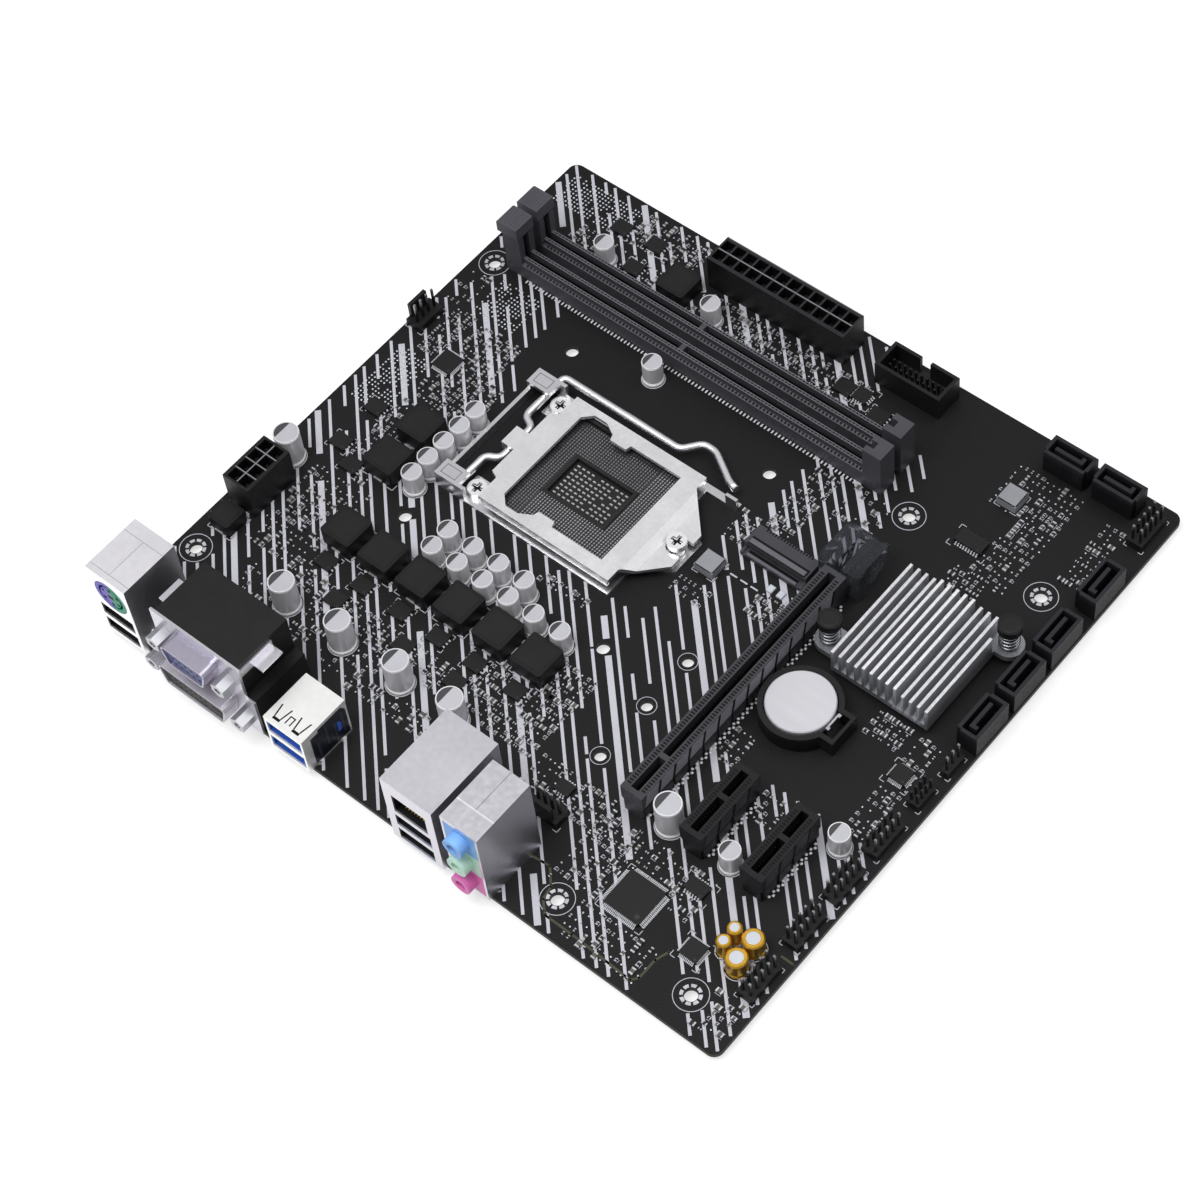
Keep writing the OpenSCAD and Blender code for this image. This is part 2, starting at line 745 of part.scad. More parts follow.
module frame_outline() {
    ear = 9.4;
    ear_back = 31;
    tongue = 6;
    arm_w = 2.4;
    half_w = frame_w / 2;
    front_y = -26;
    arm_end = -37;
    difference() {
        union() {
            translate([-half_w, front_y]) square([frame_w, -front_y + socket_l / 2 + 4]);
            for (x = [-half_w, half_w - ear])
                translate([x, 0]) square([ear, ear_back]);
            translate([half_w - arm_w, arm_end]) square([arm_w, -arm_end + front_y + eps]);
            polygon([[-tongue * 2, front_y + eps], [tongue * 2, front_y + eps],
                [tongue, -screw_front - 4], [-tongue, -screw_front - 4]]);
        }
        translate([-socket_w / 2 - screw_gap, -socket_l / 2 - screw_gap])
            square([socket_w, socket_l] + 2 * [screw_gap, screw_gap]);
        for (x = [-screw_side, screw_side])
            translate([x, screw_back]) circle(d = ilm_screw_d + 2 * leg_clear);
        translate([0, -screw_front]) circle(d = shoulder_d + 2 * leg_clear);
    }
}

// Bracket cheek that carries the lever's axle
module axle_cheek(x) {
    cheek_back = 39;
    cheek_from = 28;
    difference() {
        block([x, cheek_from, 0], [1.2, cheek_back - cheek_from, lever_z + lever_d / 2 + 1.6]);
        translate([x - eps, axle_y, lever_z]) rotate([0, 90, 0])
            cylinder(d = lever_d + 2 * run_clear, h = 1.2 + 2 * eps);
    }
}

module ilm_frame() {
    half_w = frame_w / 2;
    cheek_t = 1.2;
    rail_y = 37.8;
    strap_z = lever_z + lever_d / 2 + 0.4;
    strap_l = 6;
    color("#c9c9cc") at_socket() {
        linear_extrude(frame_t) frame_outline();
        axle_cheek(-half_w);
        axle_cheek(half_w - cheek_t);
        block([-half_w, rail_y, 0], [frame_w, cheek_t, 3.4]);
        for (x = [-half_w, half_w - strap_l])
            block([x, axle_y - 2, strap_z], [strap_l, rail_y - axle_y + 2 + cheek_t, 1.2]);
        for (x = [-half_w, half_w - strap_l])
            block([x, rail_y, 0], [strap_l, cheek_t, strap_z + 1.2]);
        block([half_w - 2.4, -37, 0], [1, 4, lever_z + 1.4]);
    }
}

module plate_outline() {
    half_w = plate_w / 2;
    back = 25.8;
    back_corner = 23.2;
    corner_in = 14;
    bend = -25.6;
    tongue_end = -36;
    tongue_half = 6.6;
    root_half = 16;
    difference() {
        polygon([
            [-half_w, bend], [-root_half - 1.6, bend], [-root_half, bend - 1.4],
            [-tongue_half, tongue_end], [tongue_half, tongue_end],
            [root_half, bend - 1.4], [root_half + 1.6, bend], [half_w, bend],
            [half_w, back_corner], [corner_in, back_corner], [corner_in - 1, back],
            [1 - corner_in, back], [-corner_in, back_corner], [-half_w, back_corner]
        ]);
        plate_window();
        translate([0, -screw_front]) circle(d = ilm_head_d + 2 * screw_gap);
        translate([-ilm_head_d / 2, tongue_end - 1]) square([ilm_head_d, -tongue_end - screw_front + 1]);
    }
}

// Window over the contacts: wide at the hinge end, with a lip on each side
module plate_window() {
    wide = 20;
    slim = 17.8;
    lip = 15.9;
    high = 17.6;
    low = -19.6;
    polygon([
        [-slim, low], [slim, low], [slim, -1], [lip, -0.4], [lip, 5.4], [slim, 6],
        [wide, 10], [wide, high - 3], [wide - 3, high],
        [3 - wide, high], [-wide, high - 3], [-wide, 10],
        [-slim, 6], [-lip, 5.4], [-lip, -0.4], [-slim, -1]
    ]);
}

// Section of the load plate along Y: flat, then stepped down to the tongue
module plate_section() {
    low = plate_z - tongue_drop;
    polygon([
        [-40, low], [-28.4, low], [-25.6, plate_z], [30, plate_z],
        [30, plate_z + plate_t], [-26.2, plate_z + plate_t], [-29, low + plate_t], [-40, low + plate_t]
    ]);
}

module load_plate() {
    skirt = 2.2;
    skirt_t = 1;
    hook_w = 7;
    hook_t = 1.2;
    wrap = lever_d / 2 + run_clear;
    color("#d8d8da") at_socket() {
        intersection() {
            linear_extrude(plate_z + plate_t + 1) plate_outline();
            along_x(-plate_w / 2, plate_w) plate_section();
        }
        for (x = [-plate_w / 2, plate_w / 2 - skirt_t])
            block([x, -25, plate_z - skirt], [skirt_t, 46, skirt + plate_t / 2]);
        block([-hook_w / 2, 25, plate_z], [hook_w, crank_y + wrap + hook_t - 25, plate_t]);
        block([-hook_w / 2, crank_y + wrap, lever_z - 1], [hook_w, hook_t, plate_z - lever_z + 1 + eps]);
    }
}

// Bent wire with round journals in the cheeks and in the plate's hook
module load_lever() {
    start_x = -frame_w / 2 - 1;
    bump = 5.6;
    end_y = axle_y - arm_l;
    crank_half = 7;
    bend_l = 0.8 * lever_d;
    journals = [
        [start_x - eps, -crank_half - 5, axle_y],
        [crank_half + 5, arm_x - bend_l - 0.2, axle_y],
        [bend_l - crank_half, crank_half - bend_l, crank_y]
    ];
    color("#d4d4d6") at_socket() translate([0, 0, lever_z]) {
        bent_wire(rounded_path([
            [start_x, axle_y, 0],
            [-crank_half - 2, axle_y, 0],
            [-crank_half, crank_y, 0],
            [crank_half, crank_y, 0],
            [crank_half + 2, axle_y, 0],
            [arm_x, axle_y, 0],
            [arm_x, axle_y - 44, 0],
            [arm_x + bump, axle_y - 48.5, 0],
            [arm_x + bump, axle_y - 53, 0],
            [arm_x - 0.6, end_y + 3, 0],
            [arm_x - 1.4, end_y, 0]
        ], bend_l), lever_d - 4 * eps);
        for (j = journals)
            translate([j[0], j[2], 0]) rotate([0, 90, 0]) cylinder(d = lever_d, h = j[1] - j[0]);
    }
}

module socket_backplate() {
    color("#77777a") place() translate([socket_x, socket_y, -tail_drop]) linear_extrude(tail_drop)
        difference() {
            translate([-backplate_w / 2, backplate_y]) rounded_rect([backplate_w, backplate_l], 5);
            translate([-backplate_window / 2, -backplate_window / 2])
                square([backplate_window, backplate_window]);
            for (p = ilm_spots)
                translate(p - [socket_x, socket_y]) circle(d = ilm_screw_d + 2 * leg_clear);
        }
}

// Screw with a cross recess in its head
module ilm_screw(seat, shoulder) {
    reach = board_t + tail_drop;
    cross = [0.6 * ilm_head_d, 0.2 * ilm_head_d];
    difference() {
        union() {
            translate([0, 0, -reach]) cylinder(d = ilm_screw_d, h = reach + seat);
            cylinder(d = shoulder, h = seat);
            translate([0, 0, seat]) cylinder(d = ilm_head_d, h = ilm_head_h);
        }
        centred_block([cross[0], cross[1], ilm_head_h], seat + ilm_head_h / 2);
        centred_block([cross[1], cross[0], ilm_head_h], seat + ilm_head_h / 2);
    }
}

module ilm_screws() {
    color("#bfbfc2") place() {
        for (i = [0, 1])
            on_board(ilm_spots[i]) ilm_screw(frame_t, ilm_screw_d);
        on_board(ilm_spots[2]) ilm_screw(shoulder_h, shoulder_d);
    }
}

// Memory slots and their latches, drawn about a slot's centre line

module at_dimm(i) {
    place() on_board([dimm_x + i * dimm_pitch, 0]) children();
}

module dimm_section() {
    half_w = dimm_w / 2;
    half_lip = dimm_lip_w / 2;
    half_slot = dimm_slot_w / 2;
    floor_z = dimm_h - dimm_slot_deep;
    polygon([
        [-half_w, 0], [half_w, 0], [half_w, dimm_base_h], [half_lip, dimm_base_h + 0.4],
        [half_lip, dimm_h], [half_slot, dimm_h], [half_slot, floor_z],
        [-half_slot, floor_z], [-half_slot, dimm_h], [-half_lip, dimm_h],
        [-half_lip, dimm_base_h + 0.4], [-half_w, dimm_base_h]
    ]);
}

module dimm_slot(i) {
    half_w = dimm_w / 2;
    rail_y = dimm_y + dimm_end_l;
    channel = latch_w + 2 * latch_side;
    color("#3a3a3e") at_dimm(i) {
        along_y(rail_y - eps, dimm_rail + 2 * eps) dimm_section();
        block([-dimm_slot_w / 2 - eps, rail_y + dimm_key_y, dimm_h - dimm_slot_deep - eps],
            [dimm_slot_w + 2 * eps, dimm_key_t, dimm_slot_deep]);
        difference() {
            union() {
                block([-half_w, dimm_y, 0], [dimm_w, dimm_end_l, dimm_end_h]);
                block([-half_w, dimm_far, 0], [dimm_w, dimm_end_l, dimm_end_h]);
            }
            for (y = [rail_y - dimm_groove, dimm_far - eps])
                block([-dimm_slot_w / 2, y, dimm_h - dimm_slot_deep],
                    [dimm_slot_w, dimm_groove + eps, dimm_end_h]);
            block([-channel / 2, dimm_far + latch_room, 1], [channel, dimm_end_l, dimm_end_h]);
            translate([-half_w - eps, latch_pin_y, latch_pin_z]) rotate([0, 90, 0])
                cylinder(d = latch_pin_d + 2 * run_clear, h = dimm_w + 2 * eps);
        }
        for (y = dimm_pegs)
            translate([0, y, -board_t - tail_drop]) cylinder(d = peg_d, h = board_t + tail_drop + eps);
    }
}

module dimm_slot_a() {
    dimm_slot(0);
}

module dimm_slot_b() {
    dimm_slot(1);
}

module latch_section() {
    low = 2.2;
    neck = dimm_far + 2.8;
    back = dimm_far + 6.1;
    head_back = dimm_far + 8;
    head = dimm_end_h + 0.5;
    polygon([
        [neck, low], [back, low], [back, head - 2], [head_back, head],
        [head_back, head + latch_head_h - 0.8], [head_back - 0.8, head + latch_head_h],
        [dimm_far, head + latch_head_h], [dimm_far, head], [neck, head]
    ]);
}

module dimm_latch(i) {
    body_w = latch_w;
    pin_l = dimm_w - 0.4;
    color("#46464b") at_dimm(i) {
        intersection() {
            along_x(-latch_head_w / 2, latch_head_w) latch_section();
            union() {
                block([-body_w / 2, dimm_far - 1, 0], [body_w, 12, dimm_end_h + 1]);
                block([-latch_head_w / 2, dimm_far - 1, dimm_end_h + 0.4],
                    [latch_head_w, 12, latch_head_h + 1]);
            }
        }
        translate([-pin_l / 2, latch_pin_y, latch_pin_z]) rotate([0, 90, 0])
            cylinder(d = latch_pin_d, h = pin_l);
    }
}

module dimm_latch_a() {
    dimm_latch(0);
}

module dimm_latch_b() {
    dimm_latch(1);
}

// Expansion slots

module pcie_slot(s) {
    wall = 1.6;
    floor_z = pcie_h - pcie_slot_deep;
    inset = 0.7;
    foot_h = 5;
    on_board([s[0], s[1]]) {
        difference() {
            along_x(0, s[2]) polygon([
                [-pcie_w / 2 + inset, 0], [pcie_w / 2 - inset, 0], [pcie_w / 2 - inset, foot_h],
                [pcie_w / 2, foot_h + inset], [pcie_w / 2, pcie_h], [-pcie_w / 2, pcie_h],
                [-pcie_w / 2, foot_h + inset], [-pcie_w / 2 + inset, foot_h]
            ]);
            for (span = [[wall, pcie_key_x], [pcie_key_x + pcie_key_t, s[2] - wall]])
                block([span[0], -pcie_slot_w / 2, floor_z],
                    [span[1] - span[0], pcie_slot_w, pcie_slot_deep + eps]);
        }
        for (x = [peg_in, s[2] - peg_in])
            translate([x, 0, -board_t - tail_drop]) cylinder(d = peg_d, h = board_t + tail_drop + eps);
    }
}

module pcie_x16_slot() {
    color("#47474c") place() {
        pcie_slot(pcie_slots[0]);
        difference() {
            block([clip_x - 1 - eps, pcie_y - tail_w / 2, board_t], [tail_l + eps, tail_w, clip_pin_z + 2]);
            translate([clip_pin_x, pcie_y - tail_w / 2 - eps, board_t + clip_pin_z]) rotate([-90, 0, 0])
                cylinder(d = clip_pin_d + 2 * run_clear, h = tail_w + 2 * eps);
        }
    }
}

module pcie_x1_slot_a() {
    color("#202023") place() pcie_slot(pcie_slots[1]);
}

module pcie_x1_slot_b() {
    color("#202023") place() pcie_slot(pcie_slots[2]);
}

// Clear clip that holds a long card, straddling the slot's tail on two inward pins
module pcie_x16_latch() {
    low = board_t + 1;
    high = board_t + clip_h;
    side_gap = 0.4;
    slit = 2.4;
    pin_in = 1.4;
    room = tail_w + 2 * side_gap;
    far = clip_x + clip_l;
    color("#8f9296") place() {
        difference() {
            along_y(pcie_y - clip_w / 2, clip_w) polygon([
                [clip_x, low], [clip_x + 4, low], [far, low + 6], [far, high - 1.4],
                [far - 1.4, high], [clip_x + 1, high], [clip_x, high - 1]
            ]);
            block([clip_x - 1, pcie_y - room / 2, 0], [tail_l + 2.6, room, board_t + clip_pin_z + 3.4]);
            block([clip_x - 1, pcie_y - slit / 2, 0], [clip_l - 3, slit, high + 1]);
        }
        for (y = [pcie_y - room / 2 - eps, pcie_y + room / 2 - pin_in + eps])
            translate([clip_pin_x, y, board_t + clip_pin_z]) rotate([-90, 0, 0])
                cylinder(d = clip_pin_d, h = pin_in);
    }
}

// Contact strips along both sides of each memory and expansion groove
module card_edge_contacts() {
    dimm_floor = dimm_h - dimm_slot_deep;
    pcie_floor = pcie_h - pcie_slot_deep;
    rail_y = dimm_y + dimm_end_l + 1;
    strip_h = 3.6;
    wall = 1.6;
    end_gap = 0.6;
    color("#c9a24a") place() {
        for (i = [0, 1], side = [0, 1])
            for (span = [[0, dimm_key_y - 1.4], [dimm_key_y + dimm_key_t - 0.6, dimm_rail - 2]])
                on_board([dimm_x + i * dimm_pitch, rail_y + span[0]]) mirror([side, 0, 0])
                    block([dimm_slot_w / 2 - strip_t - fit, 0, dimm_floor],
                        [strip_t, span[1] - span[0], strip_h]);
        for (s = pcie_slots, side = [0, 1])
            for (span = [[wall, pcie_key_x], [pcie_key_x + pcie_key_t, s[2] - wall]])
                on_board([s[0] + span[0] + end_gap, s[1]]) mirror([0, side, 0])
                    block([0, pcie_slot_w / 2 - strip_t - fit, pcie_floor],
                        [span[1] - span[0] - 2 * end_gap, strip_t, 1.6 * strip_h]);
    }
}

// Slot for a flat card that lies along the board, open towards the rear
module m2_socket() {
    body_d = 8.4;
    lip = 2.2;
    mouth_z = 1.9;
    mouth_h = 1.2;
    mouth_deep = 5;
    mouth_w = m2_w - 2;
    color("#3d3d42") place() on_board([m2_x - 5, m2_y - m2_w / 2]) difference() {
        union() {
            translate([lip, 0, 0]) cube([body_d - lip + 1, m2_w, m2_h]);
            cube([body_d, m2_w, mouth_z]);
        }
        block([-eps, (m2_w - mouth_w) / 2, mouth_z - 0.5], [mouth_deep, mouth_w, mouth_h]);
    }
}

// Power connectors

module power_housing(n, upright) {
    l = n * power_pitch + (upright ? atx_l - atx_cells * power_pitch : eps_l - eps_cells * power_pitch);
    size = upright ? [power_w, l] : [l, power_w];
    difference() {
        cube([size[0], size[1], power_h]);
        for (p = power_cells(n, upright, size))
            translate([p[0] - cell / 2, p[1] - cell / 2, power_h - cell_deep])
                cube([cell, cell, cell_deep + eps]);
    }
}

// Centres of a housing's cells
function power_cells(n, upright, size) = [
    for (i = [0:n - 1], j = [0:power_rows - 1])
        let (a = (i - (n - 1) / 2) * power_pitch, b = (j - 0.5) * power_pitch)
        upright ? [size[0] / 2 + b, size[1] / 2 + a] : [size[0] / 2 + a, size[1] / 2 + b]
];

module atx_power_housing() {
    key_l = 4;
    color("#1b1b1d") place() on_board([atx_x, atx_y]) {
        power_housing(atx_cells, true);
        block([power_w - eps, atx_l / 2 - key_l / 2, power_h - 5], [1.4, key_l, 2.4]);
    }
}

module eps_power_housing() {
    key_l = 4;
    color("#1b1b1d") place() on_board([eps_x, eps_y]) {
        power_housing(eps_cells, false);
        block([eps_l / 2 - key_l / 2, power_w - eps, power_h - 5], [key_l, 1.4, 2.4]);
    }
}

module power_pins() {
    floor_z = power_h - cell_deep;
    rise = cell_deep - 2;
    color("#cfcfd2") place() {
        for (p = power_cells(atx_cells, true, [power_w, atx_l]))
            on_board([atx_x, atx_y]) translate([p[0] - power_pin / 2, p[1] - power_pin / 2, floor_z])
                cube([power_pin, power_pin, rise]);
        for (p = power_cells(eps_cells, false, [eps_l, power_w]))
            on_board([eps_x, eps_y]) translate([p[0] - power_pin / 2, p[1] - power_pin / 2, floor_z])
                cube([power_pin, power_pin, rise]);
    }
}

// Headers

module usb3_front_header() {
    notch = 3.6;
    inner = [usb_header_w - 2 * usb_header_wall, usb_header_l - 2 * usb_header_wall];
    color("#1d1d1f") place() on_board([usb_header_x, usb_header_y]) difference() {
        cube([usb_header_w, usb_header_l, usb_header_h]);
        block([usb_header_wall, usb_header_wall, header_h], [inner[0], inner[1], usb_header_h]);
        block([usb_header_w - usb_header_wall - eps, usb_header_l / 2 - notch / 2, header_h],
            [usb_header_wall + 2 * eps, notch, usb_header_h]);
        for (p = usb_header_pins())
            translate([p[0], p[1], header_h])
                cube([pin_side + 2 * fit, pin_side + 2 * fit, 2], center = true);
    }
}

// Pins of the shrouded header, with one left out as its key
function usb_header_pins() = [
    for (i = [0:9], j = [0, 1])
        if (i > 0 || j > 0)
            [usb_header_w / 2 + (j - 0.5) * fine_pitch, usb_header_l / 2 + (i - 4.5) * fine_pitch]
];

module fan_base(pins_along_y) {
    size = pins_along_y ? [fan_w, fan_l] : [fan_l, fan_w];
    wall = 1.2;
    wall_l = fan_l - 3.2;
    cube([size[0], size[1], header_h]);
    if (pins_along_y)
        block([0, 1.6, 0], [wall, wall_l, fan_wall_h]);
    else
        block([1.6, fan_w - wall, 0], [wall_l, wall, fan_wall_h]);
}

module cpu_fan_header() {
    color("#202022") place() on_board(cpu_fan) fan_base(false);
}

module case_fan_header() {
    color("#202022") place() on_board(case_fan) fan_base(true);
}

module pin_base(b, pitch) {
    on_board([b[0] - pitch / 2, b[1] - pitch / 2]) cube([b[2] * pitch, b[3] * pitch, header_h]);
}

module pin_header_bases() {
    color("#1e1e20") place() {
        for (b = pin_bases)
            pin_base(b, pin_pitch);
        pin_base(fine_base, fine_pitch);
    }
}

// Square post standing on a header's base
module post(p, h) {
    on_board(p) translate([-pin_side / 2, -pin_side / 2, header_h]) cube([pin_side, pin_side, h - header_h]);
}

module header_pins() {
    color("#d9c48a") place() {
        for (b = pin_bases, i = [0:4], j = [0, 1])
            if (i < b[2] && j < b[3])
                post([b[0] + i * pin_pitch, b[1] + j * pin_pitch], pin_h);
        for (i = [0:3], j = [0, 1])
            post([fine_base[0] + i * fine_pitch, fine_base[1] + j * fine_pitch], pin_h - 2);
        for (i = [0:3])
            post(cpu_fan + [fan_l / 2 + (i - 1.5) * pin_pitch, fan_w / 2 - 0.6], pin_h + 1.6);
        for (i = [0:3])
            post(case_fan + [fan_w / 2 + 0.6, fan_l / 2 + (i - 1.5) * pin_pitch], pin_h + 1.6);
        for (p = usb_header_pins())
            on_board([usb_header_x + p[0] - pin_side / 2, usb_header_y + p[1] - pin_side / 2])
                translate([0, 0, header_h - 1]) cube([pin_side, pin_side, 5]);
    }
}

// Drive ports

// Upright port with an L-shaped key tongue in its mouth
module sata_port() {
    wall = 1.1;
    mouth = 6.4;
    tongue_t = 1.2;
    key_l = 2.4;
    floor_z = sata_h - mouth;
    difference() {
        cube([sata_l, sata_w, sata_h]);
        block([wall, wall, floor_z], [sata_l - 2 * wall, sata_w - 2 * wall, mouth + eps]);
        for (x = [-eps, sata_l - 0.6 + eps])
            block([x, sata_w - 1.4, -eps], [0.6, 1.4 + eps, sata_h + 2 * eps]);
    }
    block([2.6, sata_w / 2 - tongue_t / 2 + 0.4, floor_z - eps], [sata_l - 5.2, tongue_t, mouth]);
    block([2.6, sata_w / 2 - tongue_t / 2 + 0.4 - key_l / 2, floor_z - eps],
        [tongue_t, key_l / 2 + eps, mouth]);
}

module sata_ports() {
    color("#3b3b3f") place() {
        for (s = sata_spots)
            if (s[2])
                on_board([s[0] + sata_w, s[1]]) rotate([0, 0, 90]) sata_port();
            else
                on_board([s[0], s[1]]) sata_port();
    }
}

// Chipset and its cooler

module chipset() {
    die = 9;
    sub_h = chipset_h - 0.8;
    centre = [sink_x + sink_l / 2, sink_y + sink_w / 2];
    color("#26492f") place() {
        chip(centre, [chipset_w, chipset_w, sub_h]);
        translate([0, 0, sub_h - eps]) chip(centre, [die, die, chipset_h - sub_h + eps]);
    }
}

// Ear that carries a push pin, tied back to the cooler's base
module sink_ear(p, towards) {
    translate([p[0], p[1], sink_z]) linear_extrude(sink_base_t) difference() {
        union() {
            circle(ear_r);
            translate([-ear_r, towards > 0 ? 0 : -ear_r - 2]) square([2 * ear_r, ear_r + 2]);
        }
        circle(d = push_hole_d);
    }
}

module chipset_heatsink() {
    mid = (fin_count - 1) / 2;
    tall_half = 2.5;
    color("#d2d3d6") place() {
        difference() {
            union() {
                block([sink_x, sink_y, sink_z], [sink_l, sink_w, sink_base_t]);
                sink_ear(pin_a, -1);
                sink_ear(pin_b, 1);
            }
            for (p = [pin_a, pin_b])
                translate([p[0], p[1], sink_z - eps]) cylinder(d = push_hole_d, h = sink_base_t + 2 * eps);
        }
        for (i = [0:fin_count - 1])
            let (rise = abs(i - mid) < tall_half ? fin_rise : 0, cut = i == 0 ? 2.2 : 0)
            block([sink_x, sink_y + i * fin_pitch, ear_z - eps], [sink_l - cut * 3, fin_t, fin_h + rise]);
    }
}

module push_pin(p) {
    head_z = ear_z + spring_l + head_gap;
    color("#1a1a1c") place() translate([p[0], p[1], 0]) {
        translate([0, 0, -tail_drop]) cylinder(d = push_pin_d, h = tail_drop + head_z + eps);
        translate([0, 0, -tail_drop]) cylinder(d1 = push_pin_d, d2 = barb_d, h = tail_drop - barb_gap);
        translate([0, 0, head_z]) cylinder(d = push_head_d, h = push_head_h);
    }
}

module push_pin_a() {
    push_pin(pin_a);
}

module push_pin_b() {
    push_pin(pin_b);
}

// Points along a spring: a straight foot, the curls, then a straight end

// Tube of six sides along the spring's path, closed at both ends
module spring_tube() {
    sides = 6;
    n = len(spring_path);
    ring = [for (i = [0:n - 1])
        let (a = 360 * spring_turns * max(0, min(1, (i - 1) / spring_rings)), flat = i == 0 || i == n - 1)
        for (k = [0:sides - 1])
            let (
                b = 360 * k / sides,
                out = spring_wire / 2 * cos(b),
                side = spring_wire / 2 * sin(b),
                radial = [cos(a), sin(a), 0],
                across = flat ? [-sin(a), cos(a), 0] : lift(a)
            )
            spring_path[i] + out * radial + side * across
    ];
    walls = [for (i = [0:n - 2], k = [0:sides - 1])
        let (p = i * sides + k, q = i * sides + (k + 1) % sides)
        each [[p, q + sides, q], [p, p + sides, q + sides]]];
    foot = [for (k = [1:sides - 2]) [0, k, k + 1]];
    end = [for (k = [1:sides - 2]) [(n - 1) * sides, (n - 1) * sides + k + 1, (n - 1) * sides + k]];
    polyhedron(ring, concat(walls, foot, end), convexity = 6);
}

// Direction across the wire, tilted between the curl and the straight ends
function lift(a) = let (v = [sin(a), -cos(a), 1]) -v / norm(v);

module push_pin_spring_a() {
    color("#b9babd") place() translate([pin_a[0], pin_a[1], ear_z]) spring_tube();
}

module push_pin_spring_b() {
    color("#b9babd") place() translate([pin_b[0], pin_b[1], ear_z]) spring_tube();
}

// Battery

module battery_holder() {
    wall_h = holder_floor + coin_h * 0.8;
    notch_w = clip_band + 2;
    foot = 3;
    color("#161617") place() on_board([cell_x, cell_y]) difference() {
        union() {
            cylinder(r = holder_r, h = wall_h);
            block([-notch_w / 2 - foot / 2, -holder_r - foot, 0], [notch_w + foot, holder_r, wall_h]);
        }
        translate([0, 0, holder_floor]) cylinder(d = coin_d + 2 * coin_clear, h = wall_h);
        block([-notch_w / 2, -holder_r - foot + 1, 0.4], [notch_w, foot + holder_wall + 1.4, wall_h]);
    }
}

module coin_cell() {
    step = 0.5;
    color("#d5d5d8") place() translate([cell_x, cell_y, cell_z]) rotate_extrude() polygon([
        [0, 0], [coin_d / 2 - 1.6, 0], [coin_d / 2 - 1.6, step], [coin_d / 2, step],
        [coin_d / 2, coin_h - 0.3], [coin_d / 2 - 0.3, coin_h], [0, coin_h]
    ]);
}

// Spring contact at the cell's edge, bent from strip round its own pivot
module battery_clip() {
    rise = holder_floor + coin_h - 0.4;
    lip = 0.5;
    color("#c2bfa8") place() {
        block([cell_x - clip_band / 2, clip_y - 0.3, clip_pivot_z], [clip_band, clip_t, rise]);
        translate([cell_x - clip_band / 2, clip_y, clip_pivot_z]) rotate([0, 90, 0])
            cylinder(d = clip_t, h = clip_band);
        for (x = [cell_x - clip_band / 2, cell_x + clip_band / 2 - 1])
            block([x, clip_y - 0.3 - lip, clip_pivot_z + rise - 0.6], [1, lip + clip_t, 0.6]);
    }
}

// Rear ports, drawn from each stack's rear lower corner

module at_stack(s) {
    place() on_board([s[0], s[1]]) children();
}

// Sheet-metal box, open below, with solder tabs
module port_shell(s) {
    difference() {
        cube([s[2], s[3], s[4]]);
        block([shell_t, shell_t, -eps], [s[2] - 2 * shell_t, s[3] - 2 * shell_t, s[4] - shell_t + eps]);
        children();
    }
    reach = board_t + tail_drop;
    for (p = tab_spots(s))
        block([p[0] - s[0] - tab_w / 2, p[1] - s[1] - shell_t / 2, -reach], [tab_w, shell_t, reach + 1]);
}

// Opening of a port through the shell and into the insert
module port_mouth(y, z, w, h, deep) {
    block([-eps, y - w / 2, z - h / 2], [deep, w, h]);
}

// Moulded block that fills a shell
module port_fill(s) {
    gap = shell_t + fit;
    difference() {
        block([gap, gap, 0], [s[2] - 2 * gap, s[3] - 2 * gap, s[4] - gap]);
        children();
    }
}

// Contact tongue inside a flat port
module usb_tongue(y, z) {
    tongue_w = usb_w - 1.6;
    tongue_t = 1.8;
    back = 1.2;
    block([back, y - tongue_w / 2, z + usb_h / 2 - tongue_t - 0.8],
        [usb_deep - back + 1, tongue_w, tongue_t]);
}

module ps2_usb_shell() {
    y = ps2_w / 2;
    color("#c8c6c4") at_stack(ps2) port_shell(ps2) {
        for (z = [usb_low, usb_high])
            port_mouth(y, z, usb_w, usb_h, 2);
        translate([-eps, y, ps2_z]) rotate([0, 90, 0]) cylinder(d = ps2_socket_d + 4 * fit, h = 2);
    }
}

// Round keyboard and mouse socket with the ring groove that takes the plug
module ps2_socket() {
    deep = 9;
    groove = 6;
    ring_d = 9.4;
    ring_t = 0.8;
    color("#5a58b8") at_stack(ps2) translate([0, ps2_w / 2, ps2_z]) rotate([0, 90, 0]) difference() {
        cylinder(d = ps2_socket_d, h = deep);
        translate([0, 0, -eps]) difference() {
            cylinder(d = ring_d, h = groove);
            translate([0, 0, -eps]) cylinder(d = ring_d - 2 * ring_t, h = groove + 2 * eps);
        }
    }
}

module usb2_insert() {
    y = ps2_w / 2;
    color("#1c1c1e") at_stack(ps2) {
        port_fill(ps2) {
            for (z = [usb_low, usb_high])
                port_mouth(y, z, usb_w, usb_h, usb_deep);
            translate([-eps, y, ps2_z]) rotate([0, 90, 0]) cylinder(d = ps2_socket_d + 2 * fit, h = 9.1);
        }
        for (z = [usb_low, usb_high])
            usb_tongue(y, z);
    }
}

module usb3_stack_shell() {
    color("#d9d9da") at_stack(usb3) port_shell(usb3)
        for (z = [usb_low, usb_high])
            port_mouth(usb3_w / 2, z, usb_w, usb_h, 2);
}

module usb3_stack_insert() {
    color("#3f63c4") at_stack(usb3) {
        port_fill(usb3)
            for (z = [usb_low, usb_high])
                port_mouth(usb3_w / 2, z, usb_w, usb_h, usb_deep);
        for (z = [usb_low, usb_high])
            usb_tongue(usb3_w / 2, z);
    }
}

module lan_mouths(deep) {
    y = lan_w / 2;
    for (z = [usb_low, usb_high])
        port_mouth(y, z, usb_w, usb_h, deep);
    port_mouth(y, lan_port_z, lan_port_w, lan_port_h, deep);
}

